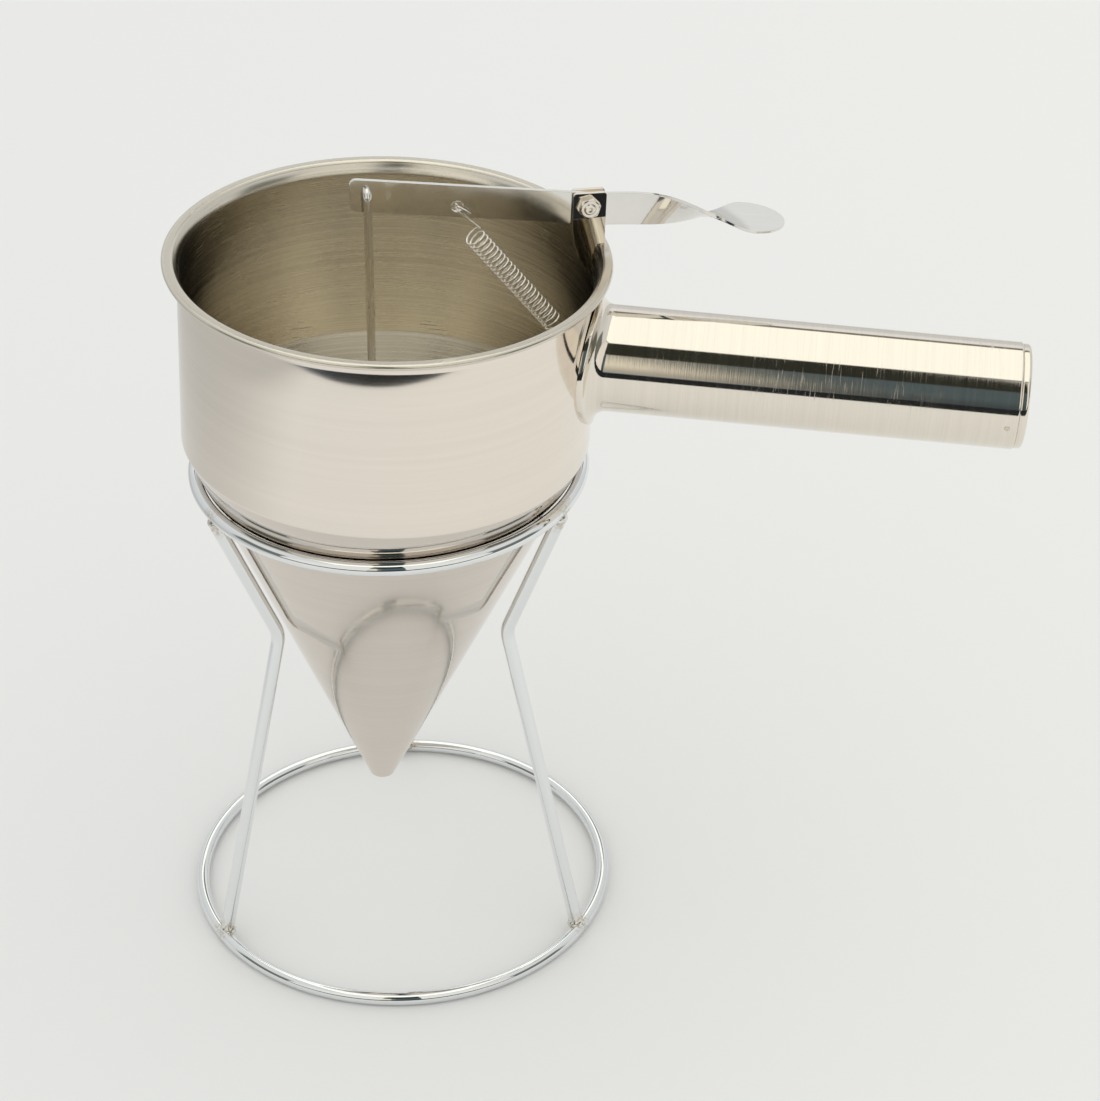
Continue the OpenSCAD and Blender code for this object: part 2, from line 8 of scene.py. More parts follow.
import bmesh
import bpy
from mathutils import Matrix, Vector


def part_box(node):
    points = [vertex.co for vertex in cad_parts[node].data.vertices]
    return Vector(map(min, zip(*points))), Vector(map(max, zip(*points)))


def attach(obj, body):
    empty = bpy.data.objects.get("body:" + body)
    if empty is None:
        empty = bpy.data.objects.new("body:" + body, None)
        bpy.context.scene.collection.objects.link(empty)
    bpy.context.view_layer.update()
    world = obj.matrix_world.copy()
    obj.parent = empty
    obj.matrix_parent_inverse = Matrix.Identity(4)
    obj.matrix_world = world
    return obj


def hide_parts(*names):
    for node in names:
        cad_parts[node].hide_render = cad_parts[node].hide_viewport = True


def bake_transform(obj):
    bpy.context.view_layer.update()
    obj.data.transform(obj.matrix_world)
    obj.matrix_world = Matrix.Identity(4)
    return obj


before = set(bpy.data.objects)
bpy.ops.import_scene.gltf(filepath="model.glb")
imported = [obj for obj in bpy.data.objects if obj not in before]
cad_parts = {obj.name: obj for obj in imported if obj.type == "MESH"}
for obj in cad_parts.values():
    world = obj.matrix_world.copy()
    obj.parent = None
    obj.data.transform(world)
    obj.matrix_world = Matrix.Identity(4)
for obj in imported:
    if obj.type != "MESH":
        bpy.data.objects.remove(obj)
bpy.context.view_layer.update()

MM = 0.001
UP = Vector((0, 0, 1))

# ---------------------------------------------------------------- camera
# Level direction of view, as a turn about Z from +Y towards +X, and the pitch below level.
VIEW_TURN = math.radians(12.0)
VIEW_PITCH = math.radians(33.42)
VIEW_ROLL = math.radians(-0.11)
CAMERA_AT = Vector((-143.17, -949.98, 782.21)) * MM
LENS_MM = 103.12
SENSOR_MM = 36.0
AHEAD = Vector((math.sin(VIEW_TURN), math.cos(VIEW_TURN), 0))
RIGHT = Vector((math.cos(VIEW_TURN), -math.sin(VIEW_TURN), 0))


def make_camera():
    """Camera with its axes built from the level direction, the pitch and the roll."""
    forward = AHEAD * math.cos(VIEW_PITCH) - UP * math.sin(VIEW_PITCH)
    above = RIGHT.cross(forward)
    right = RIGHT * math.cos(VIEW_ROLL) + above * math.sin(VIEW_ROLL)
    above = right.cross(forward)
    data = bpy.data.cameras.new("camera")
    data.sensor_fit = "AUTO"
    data.sensor_width = SENSOR_MM
    data.lens = LENS_MM
    data.clip_start = 0.05
    data.clip_end = 50
    camera = bpy.data.objects.new("camera", data)
    turn = Matrix((right, above, -forward)).transposed().to_4x4()
    camera.matrix_world = Matrix.Translation(CAMERA_AT) @ turn
    bpy.context.scene.collection.objects.link(camera)
    bpy.context.scene.camera = camera


make_camera()

# ---------------------------------------------------------------- sizes
# Stand, read from its packed rings.
base_low, base_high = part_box("base_ring")
seat_low, seat_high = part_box("seat_ring")
WIRE_R = (base_high.z - base_low.z) / 2
BASE_RING_R = (base_high.x - base_low.x) / 2 - WIRE_R
SEAT_RING_R = (seat_high.x - seat_low.x) / 2 - WIRE_R
SEAT_H = (seat_high.z + seat_low.z) / 2
LEG_TURNS = [math.radians(a) for a in (199.5, 319.5, 79.5)]
LEG_BEND_H = 130 * MM
LEG_BEND_CURVE_R = 12 * MM
LEG_GAP = 0.8 * MM

# Hopper, in its own frame: z from the middle of the seat ring, along the hopper's axis.
BOWL_R = 72.4 * MM
BOWL_H = 68.1 * MM
SHEET = 0.8 * MM
CONE_ANGLE = math.radians(24.1)
TIP_R = 4.5 * MM
SEAT_GAP = 0.3 * MM
LEAN = math.radians(2.3)
CONE_TAN = math.tan(CONE_ANGLE)
CONE_R0 = SEAT_RING_R - (WIRE_R + SEAT_GAP) / math.cos(CONE_ANGLE)
FOLD_Z = (BOWL_R - CONE_R0) / CONE_TAN
RIM_Z = FOLD_Z + BOWL_H
TIP_Z = FOLD_Z - (BOWL_R - TIP_R) / CONE_TAN
LEAN_Z = SEAT_RING_R * CONE_TAN
HEM_OUT = 5.1 * MM
HEM_W = 4.4 * MM
HEM_T = 2.1 * MM
FLARE_R = 6 * MM
FOLD_ROUND = 1.6 * MM

HANDLE_R = 18.7 * MM
HANDLE_LEN = 147 * MM
HANDLE_WALL = 1 * MM
HANDLE_TURN = math.radians(-17.3)
HANDLE_DROP = 31.2 * MM
HANDLE_SLOPE = math.radians(1)
FOOT_W = 5.2 * MM
FOOT_EDGE = 2 * MM
CAP_LEN = 3 * MM
CAP_STEP = 0.5 * MM
CAP_ROUND = 1.2 * MM
CAP_PLUG = 8 * MM
PIN_R = 1 * MM
PIN_TURN = math.radians(9)
PIN_IN = 3.6 * MM

STRIP_H = 12 * MM
STRIP_T = 1.5 * MM
STRIP_SLOPE = math.radians(7.3)
OUTER_SLOPE = math.radians(3)
STRIP_IN = 83.5 * MM
STRIP_MID = 2 * MM
STRIP_CORNER = 2.5 * MM
PAD_OUT = 68.3 * MM
PAD_END = 13 * MM
PAD_W = 22.6 * MM
PAD_T = 0.8 * MM
PAD_ROLL = math.radians(0.5)
PAD_DROP = 9.9 * MM
PAD_TIP_DROP = 1.4 * MM

PIVOT_X = BOWL_R - 3.1 * MM
PIVOT_Z = RIM_Z + 16.2 * MM
BOLT_R = 2 * MM
NUT_T = 3.2 * MM
BOLT_TIP = 0.4 * MM
CHEEK_T = 1.2 * MM
BRACKET_W = STRIP_T + 2 * 0.3 * MM + 2 * CHEEK_T

ROD_R = 1.5 * MM
ROD_HOLE = (-77.8 * MM, 0.3 * MM)
SPRING_HOLE = (-45.5 * MM, -4 * MM)
SPRING_HOLE_R = 2 * MM
HOOK_R = 2.2 * MM
HOOK_PAST = 3 * MM
HOOK_Y = HOOK_R + STRIP_T / 2 + 0.3 * MM
PLUG_LEN = 7 * MM
COIL_R = 3.75 * MM
SPRING_WIRE_R = 0.38 * MM
COIL_TURNS = 23.5
COIL_LEN = 46.9 * MM
SPRING_ANGLE = math.radians(47.9)
HOOK_WIRE = 12.5 * MM
LUG_PAST = 8 * MM
LUG_T = 1.2 * MM

# Hopper frame to row frame: the hopper leans about a point on its axis.
HOPPER = (
    Matrix.Translation((0, 0, SEAT_H + LEAN_Z))
    @ Matrix.Rotation(LEAN, 4, "Y")
    @ Matrix.Translation((0, 0, -LEAN_Z))
)
# Handle frame: Z along the tube, away from the bowl, origin on the bowl's axis.
HANDLE = (
    HOPPER
    @ Matrix.Rotation(HANDLE_TURN, 4, "Z")
    @ Matrix.Translation((0, 0, RIM_Z - HANDLE_DROP))
    @ Matrix.Rotation(math.radians(90) + HANDLE_SLOPE, 4, "Y")
)
# Lever frame: X along the strip, away from the hopper, origin on the pivot.
LEVER = (
    HOPPER
    @ Matrix.Translation((PIVOT_X, 0, PIVOT_Z))
    @ Matrix.Rotation(STRIP_SLOPE, 4, "Y")
)


# ---------------------------------------------------------------- materials
class Tree:
    """Short calls to add and link shader nodes."""

    def __init__(self, tree):
        self.tree = tree

    def put(self, value, socket):
        """Links an output to the socket, or sets the socket to a value."""
        if hasattr(value, "is_output"):
            self.tree.links.new(value, socket)
        else:
            socket.default_value = value

    def add(self, kind, settings=None, **inputs):
        """New node. An input goes by its socket's name, or by i and the socket's number."""
        node = self.tree.nodes.new(kind)
        for name, value in (settings or {}).items():
            setattr(node, name, value)
        for name, value in inputs.items():
            numbered = name[0] == "i" and name[1:].isdigit()
            self.put(value, node.inputs[int(name[1:]) if numbered else name])
        return node

    def math(self, operation, a, b=0.0, c=0.0, clamp=False):
        settings = {"operation": operation, "use_clamp": clamp}
        return self.add("ShaderNodeMath", settings, i0=a, i1=b, i2=c).outputs[0]

    def times(self, a, b):
        return self.math("MULTIPLY", a, b)

    def ramp(self, value, a, b, low=0.0, high=1.0):
        """Smooth step of value from a to b, as a number from low to high."""
        settings = {"interpolation_type": "SMOOTHSTEP"}
        node = self.add("ShaderNodeMapRange", settings, i0=value, i1=a, i2=b, i3=low, i4=high)
        return node.outputs[0]

    def fall(self, value, a, b):
        """Smooth step of value, from 1 at a down to 0 at b."""
        return self.ramp(value, a, b, 1.0, 0.0)

    def mix(self, factor, a, b):
        """Colour mix, from a at a factor of 0 to b at 1."""
        return self.add("ShaderNodeMix", {"data_type": "RGBA"}, i0=factor, i6=a, i7=b).outputs[2]

    def vector(self, operation, a, **inputs):
        return self.add("ShaderNodeVectorMath", {"operation": operation}, i0=a, **inputs).outputs

    def dot(self, vector, axis):
        return self.vector("DOT_PRODUCT", vector, i1=tuple(axis))["Value"]

    def here(self):
        """Object coordinates."""
        return self.add("ShaderNodeTexCoord").outputs["Object"]

    def noise(self, vector, scale, detail, roughness, distortion=0.0):
        """Soft noise as a number from 0 to 1."""
        node = self.add(
            "ShaderNodeTexNoise", Vector=vector, Scale=scale, Detail=detail,
            Roughness=roughness, Distortion=distortion)
        return node.outputs[0]

    def group(self, group, **inputs):
        return self.add("ShaderNodeGroup", {"node_tree": group}, **inputs).outputs


def new_group(name, inputs, outputs):
    """Node group with its sockets: the group, its tree, and the ends to link inside it."""
    group = bpy.data.node_groups.new(name, "ShaderNodeTree")
    for label, kind, value in inputs:
        socket = group.interface.new_socket(name=label, in_out="INPUT", socket_type=kind)
        if value is not None:
            socket.default_value = value
    for label in outputs:
        group.interface.new_socket(name=label, in_out="OUTPUT", socket_type="NodeSocketFloat")
    t = Tree(group)
    return group, t, t.add("NodeGroupInput").outputs, t.add("NodeGroupOutput").inputs


def make_drawn_lines_group():
    """Fine parallel lines left by polishing: noise that is stretched along the lines.

    The vector comes in with its Z across the lines. Out come a height for a bump and a mask
    from 0 to 1 that changes from line to line.
    """
    group, t, given, out = new_group(
        "drawn_lines",
        [("Vector", "NodeSocketVector", None),
         ("Along", "NodeSocketFloat", 12.0),
         ("Across", "NodeSocketFloat", 1800.0)],
        ["Height", "Mask"])
    stretch = t.add("ShaderNodeCombineXYZ", X=given["Along"], Y=given["Along"], Z=given["Across"])
    scaled = t.vector("MULTIPLY", given["Vector"], i1=stretch.outputs[0])[0]
    fine = t.noise(scaled, 1.0, 3.0, 0.65)
    wide = t.noise(scaled, 0.13, 2.0, 0.6)
    both = t.math("ADD", t.times(fine, 0.55), t.times(wide, 0.45))
    t.put(fine, out["Height"])
    t.put(t.ramp(both, 0.35, 0.65), out["Mask"])
    return group


MARK_SCALE = 18.0


def make_handling_group():
    """Wear from use: faint smears and a few hairline scratches.

    Smears is a soft mask, Scratches a sparse sharp one.
    """
    group, t, given, out = new_group(
        "handling_marks",
        [("Vector", "NodeSocketVector", None), ("Scale", "NodeSocketFloat", MARK_SCALE)],
        ["Smears", "Scratches"])
    scaled = t.vector("SCALE", given["Vector"], i3=given["Scale"])[0]
    cloud = t.noise(scaled, 1.0, 4.0, 0.55, distortion=0.6)
    patches = t.noise(scaled, 2.0, 1.0, 0.4)
    slanted = t.add(
        "ShaderNodeMapping", Vector=scaled, Rotation=(0.12, 0.05, 0.0), Scale=(7.0, 7.0, 130.0))
    nicks = t.noise(slanted.outputs[0], 1.0, 1.0, 0.5)
    t.put(t.ramp(cloud, 0.38, 0.72), out["Smears"])
    t.put(t.times(t.ramp(nicks, 0.60, 0.72), t.ramp(patches, 0.50, 0.66)), out["Scratches"])
    return group


def make_weld_heat_group():
    """Mask around one point: 1 at the point, 0 beyond the radius."""
    group, t, given, out = new_group(
        "weld_heat",
        [("Point", "NodeSocketVector", None), ("Radius", "NodeSocketFloat", 0.006)],
        ["Mask"])
    away = t.vector("DISTANCE", t.here(), i1=given["Point"])["Value"]
    share = t.math("DIVIDE", away, given["Radius"])
    t.put(t.fall(share, 0.3, 1.0), out["Mask"])
    return group


DRAWN_LINES = make_drawn_lines_group()
HANDLING = make_handling_group()
WELD_HEAT = make_weld_heat_group()


def new_material(name):
    """Material with its tree and its shader."""
    material = bpy.data.materials.new(name)
    material.use_nodes = True
    return material, Tree(material.node_tree), material.node_tree.nodes["Principled BSDF"]


def link_metal(t, shader, tint, rough, bump):
    t.put(tint, shader.inputs["Base Color"])
    t.put(rough, shader.inputs["Roughness"])
    t.put(bump.outputs[0], shader.inputs["Normal"])
    shader.inputs["Metallic"].default_value = 1.0


def placed_vector(t, place):
    """Object coordinates seen in a piece's own frame, given as a matrix in the row frame."""
    mapping = t.add(
        "ShaderNodeMapping", {"vector_type": "TEXTURE"},
        Vector=t.here(),
        Location=place.to_translation(),
        Rotation=place.to_euler("XYZ"))
    return mapping.outputs[0]


def steel(name, color, roughness, place, along=12.0, across=1800.0, line_depth=0.3, line_tone=0.08,
          line_rough=0.06, smear_rough=0.05, scratch=0.2, bump_reach=0.02 * MM, dish=None):
    """Polished steel with drawn lines across the place's Z, smears and hairline scratches.

    A dish is a height and two slopes: upright faces tilt up by the first slope above the height
    and down by the second below it, as on a pressed plate that isn't quite flat.
    """
    material, t, shader = new_material(name)
    vector = placed_vector(t, place)
    lines = t.group(DRAWN_LINES, Vector=vector, Along=along, Across=across)
    marks = t.group(HANDLING, Vector=vector, Scale=MARK_SCALE)
    dark = tuple(c * (1 - line_tone) for c in color) + (1,)
    light = tuple(min(1.0, c * (1 + line_tone * 0.5)) for c in color) + (1,)
    tint = t.mix(lines["Mask"], dark, light)
    rough = t.math("MULTIPLY_ADD", lines["Mask"], line_rough, roughness)
    rough = t.math("MULTIPLY_ADD", marks["Smears"], smear_rough, rough)
    rough = t.math("MULTIPLY_ADD", marks["Scratches"], scratch, rough, clamp=True)
    bump = t.add(
        "ShaderNodeBump", Strength=line_depth, Distance=bump_reach, Height=lines["Height"])
    if dish:
        middle, above_slope, below_slope = dish
        over = t.math("SUBTRACT", t.dot(t.here(), UP), middle)
        above = t.times(t.math("MAXIMUM", over, 0.0), -above_slope)
        below = t.times(t.math("MINIMUM", over, 0.0), below_slope)
        bump = t.add(
            "ShaderNodeBump", Strength=1.0, Distance=1.0, Height=t.math("ADD", above, below),
            Normal=bump.outputs[0])
    link_metal(t, shader, tint, rough, bump)
    return material


STEEL_TONE = (0.86, 0.79, 0.71)
BRIGHT_TONE = (0.83, 0.77, 0.685)
DULL_TONE = (0.76, 0.70, 0.575)
INSIDE_TONE = (0.81, 0.76, 0.66)
HEM_TONE = (0.74, 0.69, 0.60)
STRIP_TONE = (0.80, 0.78, 0.74)
# The cone is the bowl's steel with painted shade: its tone is darker to stand in for the shadowed
# floor it mirrors.
CONE_SHADED_TONE = (0.72, 0.66, 0.60)
CHROME_TONE = (0.84, 0.855, 0.86)
STAIN_TONE = (0.52, 0.43, 0.30)
SPRING_TONE = (0.90, 0.85, 0.77)
# Edge tint of the brushed inside, which keeps it from turning white at low angles: painted shade
# that darkens the inside's sides.
INSIDE_EDGE_SHADE = (0.10, 0.09, 0.07, 1)


def chrome_plate(name, welds, radius):
    """Bright plating, with a slight orange peel and dull, browned patches round the welds."""
    material, t, shader = new_material(name)
    here = t.here()
    peel = t.noise(here, 420.0, 2.0, 0.5)
    specks = t.add("ShaderNodeTexVoronoi", Vector=here, Scale=260.0)
    dust = t.fall(specks.outputs["Distance"], 0.03, 0.09)
    heat = 0.0
    for point in welds:
        spot = t.group(WELD_HEAT, Point=point, Radius=radius)
        heat = t.math("MAXIMUM", heat, spot["Mask"])
    stained = t.times(heat, t.ramp(t.noise(here, 900.0, 3.0, 0.6), 0.35, 0.7))
    tint = t.mix(stained, CHROME_TONE + (1,), STAIN_TONE + (1,))
    rough = t.math("MULTIPLY_ADD", peel, 0.03, 0.012)
    rough = t.math("MULTIPLY_ADD", dust, 0.12, rough)
    rough = t.math("MULTIPLY_ADD", stained, 0.30, rough)
    rise = t.math("MULTIPLY_ADD", stained, 2.0, peel)
    bump = t.add("ShaderNodeBump", Strength=0.15, Distance=0.02 * MM, Height=rise)
    link_metal(t, shader, tint, rough, bump)
    return material


# ---------------------------------------------------------------- shapes
def arc(middle, radius, start, end, steps):
    """Points of an arc in the profile plane, angles in degrees."""
    turns = [math.radians(start + (end - start) * i / steps) for i in range(steps + 1)]
    return [at(middle[0] + radius * math.cos(a), middle[1] + radius * math.sin(a)) for a in turns]


def at(r, z):
    return Vector((r, 0, z))


def start_profile(bm, points, closed):
    """A line of edges through the points."""
    verts = [bm.verts.new(p) for p in points]
    edges = [bm.edges.new(pair) for pair in zip(verts, verts[1:])]
    if closed:
        edges.append(bm.edges.new((verts[-1], verts[0])))
    return verts + edges


def supported(points, closed, reach=0.35 * MM):
    """Adds points near both ends of each long stretch, so corners shade only near themselves."""
    out = []
    for a, b in zip(points, points[1:] + points[:1] if closed else points[1:]):
        out.append(a)
        length = (b - a).length
        if length > 4 * reach:
            out.append(a + (b - a) * (reach / length))
            out.append(b - (b - a) * (reach / length))
    return out if closed else out + [points[-1]]


def revolve(points, steps, closed=False):
    """Spins a profile once round Z."""
    bm = bmesh.new()
    geom = start_profile(bm, supported(points, closed), closed)
    bmesh.ops.spin(
        bm, geom=geom, cent=(0, 0, 0), axis=UP, angle=2 * math.pi, steps=steps, use_merge=True)
    bmesh.ops.remove_doubles(bm, verts=bm.verts, dist=0.001 * MM)
    bmesh.ops.recalc_face_normals(bm, faces=bm.faces)
    return bm


def transform(bm, matrix):
    bmesh.ops.transform(bm, matrix=matrix, verts=bm.verts)


def extrude_ring(bm, ring, matrix):
    """Extrudes a ring of edges and moves the new ring by the matrix."""
    made = bmesh.ops.extrude_edge_only(bm, edges=ring)["geom"]
    verts = [e for e in made if isinstance(e, bmesh.types.BMVert)]
    edges = [e for e in made if isinstance(e, bmesh.types.BMEdge)]
    bmesh.ops.transform(bm, matrix=matrix, verts=verts)
    fresh = set(verts)
    return [e for e in edges if all(v in fresh for v in e.verts)]


def frame_of(place, direction, side):
    """Matrix at a place with Z along the direction and X as near the side as it can be."""
    z = direction.normalized()
    x = (side - z * side.dot(z)).normalized()
    turn = Matrix((x, z.cross(x), z)).transposed().to_4x4()
    return Matrix.Translation(place) @ turn


# Height of the dome on a wire's end, as a share of the wire's radius.
WIRE_DOME = 0.35


class Path:
    """Frames along a wire that is drawn by moves: straight runs and bends."""

    def __init__(self, place, direction, side):
        self.frames = [frame_of(Vector(place), Vector(direction), Vector(side))]

    def move(self, matrix):
        self.frames.append(matrix @ self.frames[-1])

    def place(self):
        return self.frames[-1].to_translation()

    def heading(self):
        return self.frames[-1].to_3x3() @ UP

    def straight(self, length, steps=1):
        """Goes straight on, with a short step at both ends of a long run."""
        reach = min(0.4 * MM, length / 4)
        for part in [reach] + [(length - 2 * reach) / steps] * steps + [reach]:
            self.move(Matrix.Translation(self.heading() * part))

    def bend(self, angle, radius, towards, steps=10):
        """Turns by the angle towards a side, on a bend of the radius."""
        heading = self.heading()
        towards = Vector(towards)
        towards = (towards - heading * towards.dot(heading)).normalized()
        middle = self.place() + towards * radius
        axis = heading.cross(towards)
        step = (
            Matrix.Translation(middle)
            @ Matrix.Rotation(angle / steps, 4, axis)
            @ Matrix.Translation(-middle)
        )
        for _ in range(steps):
            self.move(step)


def wire_mesh(path, radius, sides):
    """Round wire along a path, with slightly domed ends."""
    bm = bmesh.new()
    frames = path.frames
    made = bmesh.ops.create_circle(bm, segments=sides, radius=radius, matrix=frames[0])
    first = list({e for v in made["verts"] for e in v.link_edges})
    ring = first
    for a, b in zip(frames, frames[1:]):
        ring = extrude_ring(bm, ring, b @ a.inverted())
    dome_end(bm, ring, frames[-1], radius * WIRE_DOME)
    dome_end(bm, first, frames[0] @ Matrix.Rotation(math.pi, 4, "X"), radius * WIRE_DOME)
    bmesh.ops.recalc_face_normals(bm, faces=bm.faces)
    return bm


def dome_end(bm, ring, frame_at, lift):
    """Closes a ring with a low dome."""
    steps = 3
    here = frame_at
    size = 1.0
    for i in range(1, steps + 1):
        angle = math.pi / 2 * i / (steps + 1)
        want = math.cos(angle)
        goal = frame_at @ Matrix.Translation((0, 0, lift * math.sin(angle)))
        shrink = Matrix.Diagonal((want / size, want / size, 1, 1))
        ring = extrude_ring(bm, ring, goal @ shrink @ here.inverted())
        here, size = goal, want
    bmesh.ops.contextual_create(bm, geom=ring)


def new_object(name, bm, *materials):
    """Object in the scene that takes the bmesh as its mesh."""
    mesh = bpy.data.meshes.new(name)
    bm.to_mesh(mesh)
    bm.free()
    for material in materials:
        mesh.materials.append(material)
    made = bpy.data.objects.new(name, mesh)
    bpy.context.scene.collection.objects.link(made)
    return made


def shade(piece, sharp):
    """Smooth shading, with edges sharp beyond an angle in degrees."""
    piece.data.shade_smooth()
    piece.data.set_sharp_from_angle(angle=math.radians(sharp))


def finish_piece(name, bm, body, materials, nodes=(), sharp=40.0):
    """Makes a piece of a bmesh. It rides on the body, if one is named, and stands for nodes."""
    piece = new_object(name, bm, *(materials if isinstance(materials, list) else [materials]))
    shade(piece, sharp)
    if body:
        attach(piece, body)
    if nodes:
        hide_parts(*nodes)
    return piece


# ---------------------------------------------------------------- stand
RING_STEPS = 192
LEG_SLOPE = CONE_ANGLE - LEAN
LEG_BEND_R = (
    CONE_R0 - (SEAT_H - LEG_BEND_H) * CONE_TAN
    + (LEAN_Z + SEAT_H - LEG_BEND_H) * math.sin(LEAN)
    + (WIRE_R + LEG_GAP) / math.cos(CONE_ANGLE)
)
LEG_TOP = Vector((0, 0, SEAT_H - WIRE_R * 0.8))
LEG_TOP.x = LEG_BEND_R + (LEG_TOP.z - LEG_BEND_H) * math.tan(LEG_SLOPE)
LEG_BEND = Vector((LEG_BEND_R, 0, LEG_BEND_H))
LEG_FOOT = Vector((BASE_RING_R - WIRE_R * 0.5, 0, WIRE_R * 1.45))
WELD_R = 2.9 * MM
WELD_SQUASH = Matrix.Diagonal((1.0, 1.12, 0.86, 1))
WELD_RIPPLE = 0.06


def ring_mesh(ring_r, z):
    return revolve(arc((ring_r, z), WIRE_R, 0, 345, 23), RING_STEPS, closed=True)


def leg_path():
    """From the foot up to the bend and on to the seat ring, in the plane of one leg."""
    lower = (LEG_BEND - LEG_FOOT).normalized()
    upper = (LEG_TOP - LEG_BEND).normalized()
    turn = lower.angle(upper)
    run = LEG_BEND_CURVE_R * math.tan(turn / 2)
    path = Path(LEG_FOOT, lower, (0, 1, 0))
    path.straight((LEG_BEND - LEG_FOOT).length - run)
    path.bend(turn, LEG_BEND_CURVE_R, upper - lower, steps=14)
    path.straight((LEG_TOP - LEG_BEND).length - run)
    return path


def weld_mesh(places):
    """Lumps of weld: squashed balls with a rippled skin."""
    bm = bmesh.new()
    for i, (place, turn) in enumerate(places):
        made = bmesh.ops.create_uvsphere(bm, u_segments=28, v_segments=18, radius=WELD_R)
        for v in made["verts"]:
            x, y, z = v.co
            wave = math.sin(x * 2600 + i) * math.sin(y * 3100 + 2 * i) * math.sin(z * 2300)
            v.co *= 1 + WELD_RIPPLE * wave
        matrix = Matrix.Rotation(turn, 4, "Z") @ Matrix.Translation(place) @ WELD_SQUASH
        bmesh.ops.transform(bm, matrix=matrix, verts=made["verts"])
    return bm


def make_stand():
    weld_places = []
    for turn in LEG_TURNS:
        weld_places.append((LEG_FOOT + Vector((-0.4 * MM, 0, 0.8 * MM)), turn))
        weld_places.append((LEG_TOP + Vector((-0.6 * MM, 0, -0.4 * MM)), turn))
    points = [Matrix.Rotation(turn, 3, "Z") @ place for place, turn in weld_places]
    plate = chrome_plate("chrome_plate", points, 7 * MM)

    def stand_piece(name, bm, node):
        finish_piece(name, bm, "stand", plate, [node])

    stand_piece("base_ring_wire", ring_mesh(BASE_RING_R, WIRE_R), "base_ring")
    stand_piece("seat_ring_wire", ring_mesh(SEAT_RING_R, SEAT_H), "seat_ring")
    for node, turn in zip(["leg_front_left", "leg_front_right", "leg_back"], LEG_TURNS):
        bm = wire_mesh(leg_path(), WIRE_R, 28)
        transform(bm, Matrix.Rotation(turn, 4, "Z"))
        stand_piece(node + "_wire", bm, node)
    stand_piece("weld_lumps", weld_mesh(weld_places), "stand_welds")


# ---------------------------------------------------------------- hopper
BOWL_STEPS = 256
HEM_R = BOWL_R + HEM_OUT
FLARE_MID = FLARE_R + SHEET / 2
FLARE_END_R = HEM_R - HEM_W + HEM_T * 0.35
FLARE_ANGLE = math.degrees(math.acos((BOWL_R + FLARE_R - FLARE_END_R) / FLARE_MID))
FLARE_Z = RIM_Z - FLARE_MID * math.sin(math.radians(FLARE_ANGLE))
CONE_DEGREES = math.degrees(CONE_ANGLE)


def fold_arc(radius, offset):
    """Rounded fold between the cone and the bowl, for a wall that lies inwards by the offset."""
    r = BOWL_R - offset
    low = FOLD_Z - offset * math.tan(CONE_ANGLE / 2)
    middle = (r - radius, low + radius * math.tan(CONE_ANGLE / 2))
    return arc(middle, radius, -CONE_DEGREES, 0, 8)


# The wall under the front of the rim is drawn in, between two depths below the hem.
NECK_FROM = 21.5 * MM
NECK_TO = 5.0 * MM
NECK_CURVE_R = 98 * MM
NECK_ROWS = [NECK_FROM - 1.1 * MM * i for i in range(16)]
# Degrees to either side of the front: as far as the full depth reaches, and its fading out.
NECK_HALF = 35
NECK_FADE = 30


def neck_depth(below):
    """How far the wall is drawn in at a depth below the hem's middle."""
    if below > NECK_FROM:
        return 0.0
    if below < NECK_TO:
        return neck_depth(NECK_TO) * smooth((below - HEM_T / 2) / (NECK_TO - HEM_T / 2))
    return NECK_CURVE_R * (1 - math.cos((NECK_FROM - below) / NECK_CURVE_R))


def draw_in_neck(bm):
    """Draws the wall in a little under the front of the rim, fading out to both sides."""
    for v in bm.verts:
        below = RIM_Z - v.co.z
        radius = math.hypot(v.co.x, v.co.y)
        if radius < BOWL_R - 2 * SHEET or below < HEM_T / 2:
            continue
        turn = math.atan2(-v.co.y, v.co.x) - math.radians(90) - VIEW_TURN
        share = 1 - smooth((math.degrees(abs(turn)) - NECK_HALF) / NECK_FADE)
        scale = 1 - neck_depth(below) * share / radius
        v.co.x *= scale
        v.co.y *= scale


def smooth(t):
    c = min(1.0, max(0.0, t))
    return c * c * (3 - 2 * c)


def bowl_mesh():
    """Bowl: a rounded fold, the wall, the flare and the flat rolled hem."""
    flare_middle = (BOWL_R + FLARE_R, FLARE_Z)
    bead = HEM_T / 2
    wall = [RIM_Z - row for row in NECK_ROWS if RIM_Z - row < FLARE_Z - 0.3 * MM]
    outer = fold_arc(FOLD_ROUND, 0)
    outer += [at(BOWL_R, z) for z in wall]
    outer += arc(flare_middle, FLARE_R, 180, 180 - FLARE_ANGLE, 8)
    outer += arc((HEM_R - HEM_W + bead, RIM_Z), bead, 235, 270, 3)
    outer += arc((HEM_R - bead, RIM_Z), bead, -90, 90, 12)
    inner = arc((HEM_R - HEM_W + bead * 1.4, RIM_Z - bead * 0.4), bead * 1.4, 90, 150, 6)
    inner += arc(flare_middle, FLARE_R + SHEET, 180 - FLARE_ANGLE, 180, 8)
    inner += [at(BOWL_R - SHEET, z) for z in reversed(wall)]
    inner += list(reversed(fold_arc(FOLD_ROUND, SHEET)))
    bm = revolve(outer + inner, BOWL_STEPS, closed=True)
    mark_inner(bm)
    draw_in_neck(bm)
    transform(bm, HOPPER)
    return bm


def mark_inner(bm):
    """Faces that look towards the hopper's axis get material 1, and those of the hem material 2."""
    bm.normal_update()
    for face in bm.faces:
        middle = face.calc_center_median()
        outwards = Vector((middle.x, middle.y, 0))
        if middle.z > RIM_Z - HEM_T * 0.6 and outwards.length > BOWL_R:
            face.material_index = 2
        elif face.normal.dot(outwards) < 0:
            face.material_index = 1


